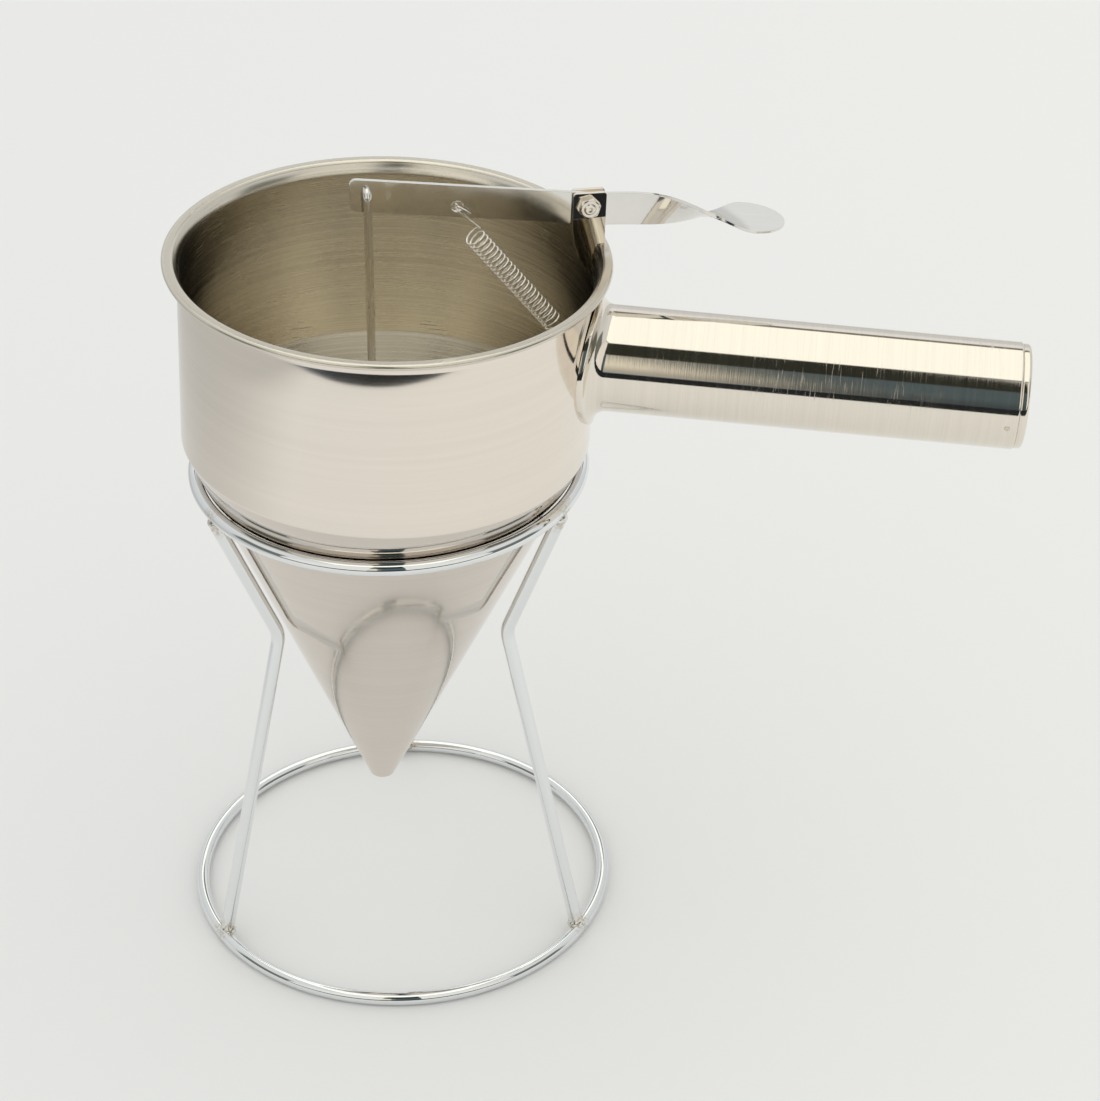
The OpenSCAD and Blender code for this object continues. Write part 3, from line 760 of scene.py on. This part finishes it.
def cone_mesh():
    """Cone from the fold to the open tip, whose edge is slightly rounded."""
    along = Vector((-math.sin(CONE_ANGLE), 0, -math.cos(CONE_ANGLE)))
    top_out = fold_arc(FOLD_ROUND, 0)[0]
    top_in = fold_arc(FOLD_ROUND, SHEET)[0]
    across = SHEET / math.cos(CONE_ANGLE)
    tip_out = at(TIP_R, TIP_Z)
    tip_in = at(TIP_R - across, TIP_Z)
    edge = 0.25 * MM
    outer = [top_out, tip_out - along * edge, tip_out - Vector((edge, 0, 0))]
    inner = [tip_in + Vector((edge * 0.6, 0, 0)), tip_in - along * edge, top_in]
    bm = revolve(outer + inner, BOWL_STEPS, closed=True)
    mark_inner(bm)
    transform(bm, HOPPER)
    return bm


def handle_mesh():
    """Tube with a flared foot that is fitted to the bowl's round wall."""
    end = BOWL_R + HANDLE_LEN
    bore = HANDLE_R - HANDLE_WALL
    rim = 0.25 * MM
    edge = 0.6 * MM
    curve = FOOT_W - edge
    foot_r = HANDLE_R + FOOT_W
    foot_z = BOWL_R + FOOT_EDGE
    foot = [at(foot_r, BOWL_R), at(foot_r, foot_z - edge)]
    foot += arc((foot_r - edge, foot_z - edge), edge, 0, 90, 4)[1:]
    foot += arc((HANDLE_R + curve, foot_z + curve), curve, 270, 180, 12)[1:]
    tube = [at(HANDLE_R, foot_z + curve + step * MM) for step in (4, 9, 15, 22)]
    tube += [at(HANDLE_R, end - rim), at(HANDLE_R - rim, end), at(bore, end)]
    tube += [at(bore, BOWL_R + 24 * MM), at(bore, BOWL_R)]
    bm = revolve(foot + tube, 144, closed=True)
    fit_to_wall(bm, fade=22 * MM)
    transform(bm, HANDLE)
    return bm


def fit_to_wall(bm, fade):
    """Slides the foot's points along the tube so that its edge lies on the bowl's round wall."""
    for v in bm.verts:
        sag = BOWL_R - math.sqrt(BOWL_R ** 2 - v.co.y ** 2)
        share = (BOWL_R + FOOT_EDGE + FOOT_W + fade - v.co.z) / fade
        v.co.z -= sag * smooth(share)


def cap_mesh():
    """End cap: a plug inside the tube and a rounded disc that shows."""
    end = BOWL_R + HANDLE_LEN
    r = HANDLE_R - CAP_STEP
    plug_r = HANDLE_R - HANDLE_WALL - 0.05 * MM
    top = end + CAP_LEN
    points = [at(0, end - CAP_PLUG), at(plug_r, end - CAP_PLUG), at(plug_r, end + 0.05 * MM)]
    points += [at(r - 0.2 * MM, end + 0.05 * MM), at(r, end + 0.25 * MM)]
    points += arc((r - CAP_ROUND, top - CAP_ROUND), CAP_ROUND, 0, 90, 10)
    points += [at(r * 0.5, top + 0.05 * MM), at(0, top + 0.07 * MM)]
    bm = revolve(points, 128)
    transform(bm, HANDLE)
    return bm


def pin_mesh():
    """Pin that holds the cap, flush with the tube, with a small dimple."""
    place = (
        HANDLE
        @ Matrix.Translation((0, 0, BOWL_R + HANDLE_LEN - PIN_IN))
        @ Matrix.Rotation(PIN_TURN, 4, "Z")
        @ Matrix.Rotation(math.radians(90), 4, "X")
    )
    top = HANDLE_R + 0.22 * MM
    foot = HANDLE_R - 4 * MM
    points = [at(0, foot), at(PIN_R, foot), at(PIN_R, top - 0.15 * MM), at(PIN_R * 0.85, top)]
    points += [at(PIN_R * 0.45, top - 0.02 * MM), at(PIN_R * 0.2, top - 0.22 * MM)]
    points += [at(0, top - 0.28 * MM)]
    bm = revolve(points, 40)
    transform(bm, place)
    return bm


def make_hopper():
    polish = {"along": 9, "line_tone": 0.03, "line_rough": 0.03, "smear_rough": 0.03,
              "scratch": 0.05}
    bowl_out = steel(
        "bowl_polish", STEEL_TONE, 0.07, HOPPER, across=700, line_depth=0.08, **polish)
    bowl_in = steel(
        "bowl_brushed", INSIDE_TONE, 0.15, HOPPER, along=6, across=2000, line_depth=0.9,
        line_tone=0.15, line_rough=0.10, bump_reach=0.03 * MM)
    # Dark edge tint: painted shade on the inside's sides.
    bowl_in.node_tree.nodes["Principled BSDF"].inputs["Specular Tint"].default_value = INSIDE_EDGE_SHADE
    # The cone's tone carries painted shade.
    cone_out = steel(
        "cone_polish", CONE_SHADED_TONE, 0.04, HOPPER, across=900, line_depth=0.12, **polish)
    handle = steel(
        "handle_polish", BRIGHT_TONE, 0.03, HANDLE, along=30, across=2600, line_depth=0.35,
        line_tone=0.04, line_rough=0.05, smear_rough=0.03)
    hem = steel(
        "hem_satin", HEM_TONE, 0.19, HOPPER, along=9, across=2400, line_depth=0.4, line_tone=0.05)
    pin = steel("pin_steel", DULL_TONE, 0.22, HANDLE, along=30, across=1500)

    def hopper_piece(name, bm, materials, node):
        finish_piece(name, bm, "hopper", materials, [node], sharp=50)

    hopper_piece("bowl_shell", bowl_mesh(), [bowl_out, bowl_in, hem], "hopper_bowl")
    hopper_piece("cone_shell", cone_mesh(), [cone_out, bowl_in], "hopper_cone")
    hopper_piece("handle_shell", handle_mesh(), handle, "handle_tube")
    hopper_piece("handle_cap", cap_mesh(), handle, "handle_end_cap")
    hopper_piece("cap_pin", pin_mesh(), pin, "handle_pin")


# ---------------------------------------------------------------- bracket and pivot
# Height at which the bracket's cheek is upright, and how it tips above and below that.
CHEEK_DISH = (278.3 * MM, 0.17, 0.35)


def bracket_copy(node, name, material, bevel, sharp=35.0):
    """A merged copy of a CAD node with softened edges."""
    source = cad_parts[node]
    bm = bmesh.new()
    bm.from_mesh(source.data)
    bmesh.ops.remove_doubles(bm, verts=bm.verts, dist=0.002 * MM)
    bmesh.ops.dissolve_limit(bm, angle_limit=math.radians(1.0), verts=bm.verts, edges=bm.edges)
    piece = finish_piece(name, bm, "hopper", material, [node], sharp=sharp)
    mod = piece.modifiers.new("soft_edges", "BEVEL")
    mod.width = bevel
    mod.segments = 2
    mod.limit_method = "ANGLE"
    mod.angle_limit = math.radians(sharp)
    mod.harden_normals = True
    return piece


def bolt_mesh():
    """Bolt with a round head on the far side and a threaded end in the nut."""
    near = BRACKET_W / 2 + NUT_T + BOLT_TIP
    thread = 0.35 * MM
    points = [at(0, -near + 0.25 * MM), at(0.5 * MM, -near), at(BOLT_R - 0.45 * MM, -near)]
    z = -near
    while z < -BRACKET_W / 2:
        points += [at(BOLT_R - 0.3 * MM, z + thread * 0.5), at(BOLT_R - 0.02 * MM, z + thread)]
        z += thread
    far = BRACKET_W / 2
    points += [at(BOLT_R, z), at(BOLT_R, far)]
    head = [(3.6, 0), (3.8, 0.3), (3.4, 1.3), (2.4, 2.05), (1.2, 2.35), (0, 2.4)]
    points += [at(r * MM, far + rise * MM) for r, rise in head]
    bm = revolve(points, 48)
    across = Matrix.Rotation(math.radians(-90), 4, "X")
    transform(bm, HOPPER @ Matrix.Translation((PIVOT_X, 0, PIVOT_Z)) @ across)
    return bm


def make_pivot():
    cheek = steel(
        "bracket_polish", BRIGHT_TONE, 0.04, HOPPER, along=30, across=900, line_depth=0.08,
        line_tone=0.02, line_rough=0.02, smear_rough=0.02, dish=CHEEK_DISH)
    bolt = steel("bolt_steel", BRIGHT_TONE, 0.14, HOPPER, along=400, across=1400, line_tone=0.1)
    bracket_copy("lever_bracket", "bracket_shell", cheek, 0.12 * MM)
    bracket_copy("spring_lug", "lug_plate", cheek, 0.12 * MM)
    bracket_copy("pivot_nut", "nut", bolt, 0.15 * MM, sharp=25)
    finish_piece("bolt", bolt_mesh(), "hopper", bolt, ["pivot_bolt"], sharp=35)


# ---------------------------------------------------------------- lever
TWIST_FROM = PIVOT_X + 10 * MM
PAD_MID_X = BOWL_R + PAD_OUT - PAD_END
OUTER_FROM = 4 * MM
# Where the strip starts to drop to the pad's height and to turn level, and over what length.
DROP_FROM, DROP_LEN = TWIST_FROM + 2 * MM, 42 * MM
TURN_FROM, TURN_LEN = TWIST_FROM + 7.8 * MM, 40 * MM
PAD_GROW = 15 * MM
# The section's rounded corners, as shares of its half width and half thickness, and points
# beside them that keep the sides flat.
EDGE_Y, EDGE_Z = 0.018, 0.14
HOLD_Y, HOLD_Z = 0.012, 0.12


def blend(a, b, t):
    return a + (b - a) * t


def strip_line(x):
    """Height of the strip's middle line outside the bowl, in the hopper frame."""
    bent = OUTER_FROM - 0.5 * MM
    drop = (x - PIVOT_X - bent) * math.tan(OUTER_SLOPE) + bent * math.tan(STRIP_SLOPE)
    return PIVOT_Z - STRIP_MID - drop


def pad_line(x):
    return PIVOT_Z - PAD_DROP - (x - PAD_MID_X) * PAD_TIP_DROP / PAD_END


def lever_frame(x):
    """Place and turn of the lever's section at one x, with its half width and half thickness."""
    z = PIVOT_Z - STRIP_MID / math.cos(STRIP_SLOPE) - (x - PIVOT_X) * math.tan(STRIP_SLOPE)
    z = blend(z, strip_line(x), smooth((x - PIVOT_X) / OUTER_FROM))
    z = blend(z, pad_line(x), smooth((x - DROP_FROM) / DROP_LEN))
    quarter = math.radians(90)
    turn = quarter + (quarter + PAD_ROLL) * smooth((x - TURN_FROM) / TURN_LEN)
    share = smooth((x - PAD_MID_X + PAD_GROW) / PAD_GROW)
    width = blend(STRIP_H, PAD_W, share)
    thick = blend(STRIP_T, PAD_T, share)
    end = max(0.0, x - PAD_MID_X) / PAD_END
    width *= math.sqrt(max(0.002, 1 - end * end))
    along = (x - (PIVOT_X - STRIP_IN * math.cos(STRIP_SLOPE))) / math.cos(STRIP_SLOPE)
    if along < STRIP_CORNER:
        left = STRIP_CORNER - along
        width -= 2 * (STRIP_CORNER - math.sqrt(max(0.0, STRIP_CORNER ** 2 - left ** 2)))
    place = Matrix.Translation((x, 0, z)) @ Matrix.Rotation(turn, 4, "X")
    return place @ Matrix.Diagonal((1, width / 2, thick / 2, 1))


def lever_stations():
    """Where the lever's sections lie: close together at the rounded ends and in the twist."""
    first = PIVOT_X - STRIP_IN * math.cos(STRIP_SLOPE)
    xs = [first + STRIP_CORNER * (1 - math.cos(math.radians(90 * i / 8))) for i in range(9)]
    xs += [blend(first + STRIP_CORNER, PIVOT_X - 2 * MM, i / 24) for i in range(1, 25)]
    xs += [blend(PIVOT_X - 2 * MM, TWIST_FROM, i / 12) for i in range(1, 13)]
    xs += [blend(TWIST_FROM, PAD_MID_X, i / 60) for i in range(1, 61)]
    xs += [PAD_MID_X + PAD_END * math.sin(math.radians(90 * i / 20)) for i in range(1, 21)]
    return xs


def section_outline():
    """Points round the lever's section, a rectangle of half sizes 1 with rounded corners."""
    corner = [
        (1, 1 - EDGE_Z - HOLD_Z), (1, 1 - EDGE_Z), (1 - EDGE_Y * 0.3, 1 - EDGE_Z * 0.3),
        (1 - EDGE_Y, 1), (1 - EDGE_Y - HOLD_Y, 1)]
    half = corner + [(0.5, 1), (0, 1), (-0.5, 1)] + [(-y, z) for y, z in reversed(corner)]
    outline = half + [(-y, -z) for y, z in half]
    return outline[-2:] + outline[:-2]


def lever_mesh():
    """The lever from its inner end to the thumb pad: one section drawn along and turned."""
    bm = bmesh.new()
    verts = [bm.verts.new((0, y, z)) for y, z in section_outline()]
    ring = [bm.edges.new(pair) for pair in zip(verts, verts[1:] + verts[:1])]
    frames = [lever_frame(x) for x in lever_stations()]
    bmesh.ops.transform(bm, matrix=frames[0], verts=verts)
    bmesh.ops.contextual_create(bm, geom=ring)
    for a, b in zip(frames, frames[1:]):
        ring = extrude_ring(bm, ring, b @ a.inverted())
    bmesh.ops.contextual_create(bm, geom=ring)
    bmesh.ops.recalc_face_normals(bm, faces=bm.faces)
    transform(bm, HOPPER)
    return bm


def drill(piece, place, radius, length=8 * MM):
    """Cuts a round hole along the place's Z."""
    bm = bmesh.new()
    bmesh.ops.create_cone(
        bm, cap_ends=True, segments=48, radius1=radius, radius2=radius, depth=length,
        matrix=place)
    cutter = new_object("drill", bm)
    mod = piece.modifiers.new("hole", "BOOLEAN")
    mod.operation = "DIFFERENCE"
    mod.solver = "EXACT"
    mod.object = cutter
    bpy.context.view_layer.update()
    depsgraph = bpy.context.evaluated_depsgraph_get()
    cut = bpy.data.meshes.new_from_object(piece.evaluated_get(depsgraph))
    piece.modifiers.remove(mod)
    piece.data = cut
    bpy.data.objects.remove(cutter)


def make_lever():
    across = Matrix.Rotation(math.radians(90), 4, "X")
    strip = steel(
        "lever_satin", STRIP_TONE, 0.08, LEVER @ across, along=60, across=1500, line_depth=0.15,
        line_tone=0.04, line_rough=0.04)
    piece = finish_piece(
        "lever_strip", lever_mesh(), "lever", strip, ["lever"], sharp=50)
    holes = [(ROD_HOLE, ROD_R + 0.08 * MM), (SPRING_HOLE, SPRING_HOLE_R),
             ((0, 0), BOLT_R + 0.06 * MM)]
    for (x, z), radius in holes:
        drill(piece, LEVER @ Matrix.Translation((x, 0, z)) @ across, radius)
    shade(piece, 50)
    lip = 0.2 * MM
    bm = revolve(arc((SPRING_HOLE_R + lip * 0.6, 0), lip, 0, 330, 11), 48, closed=True)
    face = Matrix.Translation((SPRING_HOLE[0], -STRIP_T / 2 + lip * 0.45, SPRING_HOLE[1]))
    transform(bm, LEVER @ face @ across)
    finish_piece("spring_hole_lip", bm, "lever", strip)


# ---------------------------------------------------------------- spring
COIL_MID_R = COIL_R - SPRING_WIRE_R
COIL_DIR = Vector((math.cos(SPRING_ANGLE), 0, -math.sin(SPRING_ANGLE)))
COIL_SIDE = Vector((math.sin(SPRING_ANGLE), 0, math.cos(SPRING_ANGLE)))


def on_lever(point):
    """A point of the lever's side view, in the hopper frame."""
    return Vector((
        PIVOT_X + point[0] * math.cos(STRIP_SLOPE) + point[1] * math.sin(STRIP_SLOPE),
        0,
        PIVOT_Z - point[0] * math.sin(STRIP_SLOPE) + point[1] * math.cos(STRIP_SLOPE)))


HOOK_AT = on_lever(SPRING_HOLE)
COIL_TOP = HOOK_AT + COIL_DIR * HOOK_WIRE - COIL_SIDE * COIL_MID_R
LUG_AT = COIL_TOP + COIL_DIR * (COIL_LEN + LUG_PAST)
# The coil hangs a little steeper than the line from hook to lug.
COIL_SAG = Matrix.Rotation(math.radians(3), 3, "Y")
COIL_STEPS = 22


def spring_curve(points):
    """Smooth line through given points, as evenly spaced places (Catmull-Rom)."""
    padded = [points[0] * 2 - points[1]] + points + [points[-1] * 2 - points[-2]]
    out = []
    for a, b, c, d in zip(padded, padded[1:], padded[2:], padded[3:]):
        for i in range(6):
            t = i / 6
            square = (2 * a - 5 * b + 4 * c - d) * t * t
            cube = (3 * b - a - 3 * c + d) * t ** 3
            out.append(0.5 * (2 * b + (c - a) * t + square + cube))
    out.append(points[-1])
    return out


def beside(place, along, up, y):
    """A place moved along the coil and across it, both in millimetres, and by y to the side."""
    return place + COIL_DIR * (along * MM) + COIL_SIDE * (up * MM) + Vector((0, y, 0))


def spring_places():
    """The wire's middle line: tail, hook through the lever, coil, hook through the lug."""
    side = STRIP_T / 2 + 1.0 * MM
    start = COIL_TOP + COIL_SIDE * COIL_MID_R
    hook = [
        beside(HOOK_AT, 4.6, 1.8, -side - 0.2 * MM),
        beside(HOOK_AT, 2.2, 1.3, -side - 0.1 * MM),
        beside(HOOK_AT, 0, 0.4, -side * 0.7),
        beside(HOOK_AT, -0.3, 0, side * 0.6),
        beside(HOOK_AT, 0.5, -0.7, side * 0.35),
        beside(HOOK_AT, 0.9, -0.6, -side * 0.8),
        beside(HOOK_AT, 4.0, -0.4, -side),
        beside(start, -3.0, 0, -0.9 * MM),
        beside(start, -0.6, 0, -0.5 * MM)]
    coil = []
    count = round(COIL_TURNS * COIL_STEPS)
    for i in range(count + 1):
        turn = 2 * math.pi * i / COIL_STEPS
        out = COIL_SAG @ COIL_SIDE * (COIL_MID_R * math.cos(turn))
        out.y += COIL_MID_R * math.sin(turn)
        coil.append(COIL_TOP + COIL_SAG @ COIL_DIR * (COIL_LEN * i / count) + out)
    low = LUG_T / 2 + 0.8 * MM
    tail = [
        beside(coil[-1], 0.6, 0, -0.4 * MM),
        beside(LUG_AT, -4.0, 0, -low),
        beside(LUG_AT, -0.6, 0, -low),
        beside(LUG_AT, 0, 0, -0.2 * MM),
        beside(LUG_AT, 0, 0, low),
        beside(LUG_AT, -2.0, 1.0, low + 0.3 * MM)]
    return spring_curve(hook) + coil + spring_curve(tail)


def mesh_along(places, radius, sides):
    """Round wire through many close places, with domed ends."""
    path = Path(places[0], places[1] - places[0], UP)
    for a, b, c in zip(places, places[1:], places[2:] + [2 * places[-1] - places[-2]]):
        heading = path.heading()
        goal = (c - a).normalized()
        turn = heading.rotation_difference(goal).to_matrix().to_4x4()
        path.move(Matrix.Translation(b) @ turn @ Matrix.Translation(-a))
    return wire_mesh(path, radius, sides)


def make_spring():
    wire = steel(
        "spring_wire", SPRING_TONE, 0.13, HOPPER, along=300, across=900, line_depth=0.1,
        line_rough=0.03, smear_rough=0.0)
    bm = mesh_along(spring_places(), SPRING_WIRE_R, 10)
    transform(bm, HOPPER)
    piece = finish_piece("spring_coil", bm, None, wire, ["return_spring"])
    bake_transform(piece)


# ---------------------------------------------------------------- plunger
ROD_TOP = on_lever(ROD_HOLE)
ACROSS_TIP = SHEET / math.cos(CONE_ANGLE)
PLUG_Z = TIP_Z + 1.5 * MM
ROD_LOW = at(0, PLUG_Z + 2 * MM)
PLUG_R0 = TIP_R - ACROSS_TIP + (PLUG_Z - TIP_Z) * CONE_TAN - 0.15 * MM / math.cos(CONE_ANGLE)


def rod_path():
    """Hook through the lever's hole, over a bend and straight down to the stopper."""
    down = ROD_LOW - ROD_TOP
    tilt = math.atan2(down.x, -down.z)
    drop = down.length
    inwards = HOOK_Y - HOOK_R
    reach = drop - HOOK_R
    angle = math.atan(inwards / reach) + math.asin(HOOK_R / math.hypot(inwards, reach))
    path = Path((0, STRIP_T / 2 + HOOK_PAST, 0), (0, -1, 0), (1, 0, 0))
    path.straight(STRIP_T / 2 + HOOK_PAST + inwards)
    path.bend(math.radians(90) + angle, HOOK_R, (0, 0, -1), steps=16)
    left = Vector((0, 0, -drop)) - path.place()
    path.straight(left.length, steps=6)
    place = HOPPER @ Matrix.Translation(ROD_TOP) @ Matrix.Rotation(-tilt, 4, "Y")
    path.frames = [place @ f for f in path.frames]
    return path


def plug_mesh():
    """Stopper: a short cone that closes the outlet, with rounded shoulders."""
    top_r = PLUG_R0 + PLUG_LEN * CONE_TAN
    top_z = PLUG_Z + PLUG_LEN
    points = [at(0, PLUG_Z), at(PLUG_R0 - 0.3 * MM, PLUG_Z)]
    points += [at(PLUG_R0 + 0.1 * MM, PLUG_Z + 0.35 * MM), at(top_r - 0.1 * MM, top_z - 0.3 * MM)]
    points += arc((top_r - 1.0 * MM, top_z), 0.9 * MM, 0, 90, 6)
    points += [at(ROD_R + 0.3 * MM, top_z + 1.1 * MM), at(ROD_R * 0.5, top_z + 1.3 * MM)]
    points += [at(0, top_z + 1.3 * MM)]
    bm = revolve(points, 64)
    transform(bm, HOPPER)
    return bm


def make_plunger():
    drawn = HOPPER @ Matrix.Rotation(math.radians(90), 4, "Y")
    rod = steel(
        "rod_drawn", STRIP_TONE, 0.13, drawn, along=50, across=2500, line_depth=0.2,
        line_tone=0.06)
    wire = wire_mesh(rod_path(), ROD_R, 28)
    finish_piece("rod_wire", wire, "rod", rod, ["plunger_rod"])
    plug = steel("plug_turned", DULL_TONE, 0.2, HOPPER, along=20, across=2500, line_depth=0.4)
    finish_piece("stopper", plug_mesh(), "rod", plug, ["stopper_plug"], sharp=50)


# ---------------------------------------------------------------- studio
FLOOR_REACH = 9
FLOOR_FRONT = 0.97
# Floor tones from left to right; the darker left is painted shade.
FLOOR_LEFT = (0.785, 0.79, 0.785, 1)
FLOOR_RIGHT = (0.82, 0.825, 0.81, 1)
FLOOR_ASIDE = (0.10, 0.11, 0.12, 1)
BEYOND_LEFT = (0.12, 0.19, 0.28, 1)
BEYOND_RIGHT = (0.012, 0.020, 0.032, 1)
# The floor darkens to the left in mirrors, between two distances and by a share.
ASIDE_EDGES = (0.15, 0.60)
ASIDE_SHARE = 0.36
GAP_TOP = 0.19
GAP_HALF = 1.55
GAP_LEFT = (0.05, 0.07, 0.09, 1)
GAP_RIGHT = (0.020, 0.022, 0.022, 1)


def angles(*degrees):
    return [math.radians(d) for d in degrees]


# The tent's tones, and the soft edges between them: parts of a direction of length 1, or angles.
TENT_LOW = (0.66, 0.67, 0.67, 1)
TENT_HIGH = (0.76, 0.77, 0.76, 1)
TENT_FRONT = (0.88, 0.86, 0.80, 1)
FRONT_EDGES = (0.45, 0.60)
TENT_AHEAD = (0.86, 0.88, 0.89, 1)
AHEAD_EDGES = (0.75, 0.85)
AHEAD_RISE = (0.20, 0.38)
ROOM_ASIDE = (0.17, 0.18, 0.155, 1)
DARK_FROM = angles(56.5, 58.5)
DARK_TO = angles(85, 92)
DARK_TOP = (0.45, 0.55)
EVEN_WHITE = (1.06, 1.06, 1.045, 1)
# Rectangles overhead, seen at a height of 1: near and far edge along the view, and half width.
LIGHT_BOX = (-0.554, 1.28, 0.45)
LIGHT_TONE = (1.22, 1.23, 1.14, 1)
FRAME_BOX = (-0.59, 1.70, 0.48)
FRAME_TONE = (0.24, 0.22, 0.18, 1)
BOX_SOFT = 0.015
SLOT_SIDE = (0.172, 0.186)
SLOT_TOP = angles(59.5, 61.5)
# The room seen through the slot, from left to right: where a tone starts and is full, and the tone.
ROOM_LEFT = (0.82, 0.77, 0.65, 1)
ROOM_TONES = [
    (-0.092, -0.068, (0.225, 0.235, 0.20, 1)),
    (-0.068, -0.035, (0.105, 0.122, 0.128, 1)),
    (-0.035, 0.0, (0.082, 0.115, 0.127, 1))]
ROOM_LOW = (0.03, 0.035, 0.04, 1)
ROOM_HIGH = (0.030, 0.032, 0.024, 1)
ROOM_CLIMB = angles(34.5, 37.5)


def stage_plane(name, material, corners):
    """One flat face that belongs to the studio and not to the object."""
    bm = bmesh.new()
    bm.faces.new([bm.verts.new(c) for c in corners])
    plane = new_object(name, bm, material)
    return plane


def make_floor():
    """Pale floor with painted shade, a little darker to the left; mirrors see it darker still to
    the left and see it end beyond its front edge.
    """
    material, t, shader = new_material("pale_floor")
    here = t.here()
    across = t.dot(here, RIGHT)
    ahead = t.dot(here, AHEAD)
    mirrored = t.add("ShaderNodeLightPath").outputs["Is Glossy Ray"]
    # Painted shade: the floor's tone falls off to the left.
    tone = t.mix(t.ramp(across, -0.5, 0.6), FLOOR_LEFT, FLOOR_RIGHT)
    aside = t.math("MULTIPLY_ADD", ahead, 0.5, t.times(across, -1.0))
    darker = t.ramp(aside, *ASIDE_EDGES, 0.0, ASIDE_SHARE)
    tone = t.mix(t.times(darker, mirrored), tone, FLOOR_ASIDE)
    beyond = t.mix(t.ramp(across, -0.9, -0.1), BEYOND_LEFT, BEYOND_RIGHT)
    front = t.fall(ahead, -FLOOR_FRONT - 0.01, -FLOOR_FRONT + 0.01)
    tone = t.mix(t.times(front, mirrored), tone, beyond)
    t.put(tone, shader.inputs["Base Color"])
    shader.inputs["Roughness"].default_value = 0.9
    shader.inputs["Specular IOR Level"].default_value = 0.0
    corners = [(-1, -1), (1, -1), (1, 1), (-1, 1)]
    stage_plane("floor", material, [(x * FLOOR_REACH, y * FLOOR_REACH, 0) for x, y in corners])


def make_floor_gap():
    """Dark gap above the floor's front edge, seen only in mirrors."""
    material, t, shader = new_material("floor_gap")
    across = t.dot(t.here(), RIGHT)
    t.put(t.mix(t.ramp(across, -0.9, -0.1), GAP_LEFT, GAP_RIGHT), shader.inputs["Emission Color"])
    shader.inputs["Emission Strength"].default_value = 1.0
    shader.inputs["Base Color"].default_value = (0, 0, 0, 1)
    shader.inputs["Specular IOR Level"].default_value = 0.0
    left = AHEAD * -FLOOR_FRONT - RIGHT * GAP_HALF
    right = AHEAD * -FLOOR_FRONT + RIGHT * GAP_HALF
    top = UP * GAP_TOP
    gap = stage_plane("floor_gap", material, [right, left, left + top, right + top])
    gap.visible_camera = False
    gap.visible_diffuse = False
    gap.visible_shadow = False


def make_world():
    """A pale tent with one soft light overhead in a dark frame; matt surfaces see an even white."""
    world = bpy.data.worlds.new("tent")
    world.use_nodes = True
    bpy.context.scene.world = world
    t = Tree(world.node_tree)
    background = world.node_tree.nodes["Background"]
    # Parts of the direction, whose length is 1, and the place where it meets a height of 1.
    direction = t.add("ShaderNodeTexCoord").outputs["Generated"]
    right = t.dot(direction, RIGHT)
    ahead = t.dot(direction, AHEAD)
    height = t.dot(direction, UP)
    towards = t.times(ahead, -1.0)
    off = t.math("ABSOLUTE", right)
    above = t.math("MAXIMUM", height, 0.02)
    side = t.math("ABSOLUTE", t.math("DIVIDE", right, above))
    depth = t.math("DIVIDE", ahead, above)

    def box_mask(near, far, wide):
        """1 inside a rectangle overhead."""
        front = t.ramp(depth, near - BOX_SOFT, near + BOX_SOFT)
        back = t.fall(depth, far - BOX_SOFT, far + BOX_SOFT)
        sides = t.fall(side, wide - BOX_SOFT, wide + BOX_SOFT)
        return t.times(t.times(t.times(front, back), sides), t.ramp(height, 0.02, 0.06))

    tone = t.mix(t.ramp(height, 0.0, 0.9), TENT_LOW, TENT_HIGH)
    tone = t.mix(t.ramp(towards, *FRONT_EDGES), tone, TENT_FRONT)
    low_ahead = t.times(t.ramp(ahead, *AHEAD_EDGES), t.ramp(height, *AHEAD_RISE))
    tone = t.mix(low_ahead, tone, TENT_AHEAD)
    # The room shows darker past both ends of the pale wall in front.
    past = t.math("ARCTAN2", off, towards)
    dim = t.times(t.fall(past, *DARK_TO), t.ramp(past, *DARK_FROM))
    dim = t.times(dim, t.fall(height, *DARK_TOP))
    tone = t.mix(dim, tone, ROOM_ASIDE)
    tone = t.mix(box_mask(*FRAME_BOX), tone, FRAME_TONE)
    tone = t.mix(box_mask(*LIGHT_BOX), tone, LIGHT_TONE)
    # A narrow slot towards the front stays open to the room, up to the near edge of the light.
    climb = t.math("ARCTAN2", height, towards)
    sector = t.math("DIVIDE", off, t.math("MAXIMUM", towards, 0.01))
    slot = t.times(t.fall(sector, *SLOT_SIDE), t.fall(climb, *SLOT_TOP))
    slot = t.times(slot, t.ramp(towards, 0.0, 0.05))
    room = ROOM_LEFT
    for start, full, next_tone in ROOM_TONES:
        room = t.mix(t.ramp(right, start, full), room, next_tone)
    room = t.mix(t.ramp(height, 0.0, 0.30), t.mix(0.5, room, ROOM_LOW), room)
    room = t.mix(t.ramp(climb, *ROOM_CLIMB), room, ROOM_HIGH)
    tone = t.mix(slot, tone, room)
    even = t.add("ShaderNodeLightPath").outputs["Is Diffuse Ray"]
    t.put(t.mix(even, tone, EVEN_WHITE), background.inputs["Color"])
    background.inputs["Strength"].default_value = 1.0


make_stand()
make_hopper()
make_pivot()
make_lever()
make_spring()
make_plunger()
make_floor()
make_floor_gap()
make_world()

bpy.context.scene.view_settings.view_transform = "Standard"
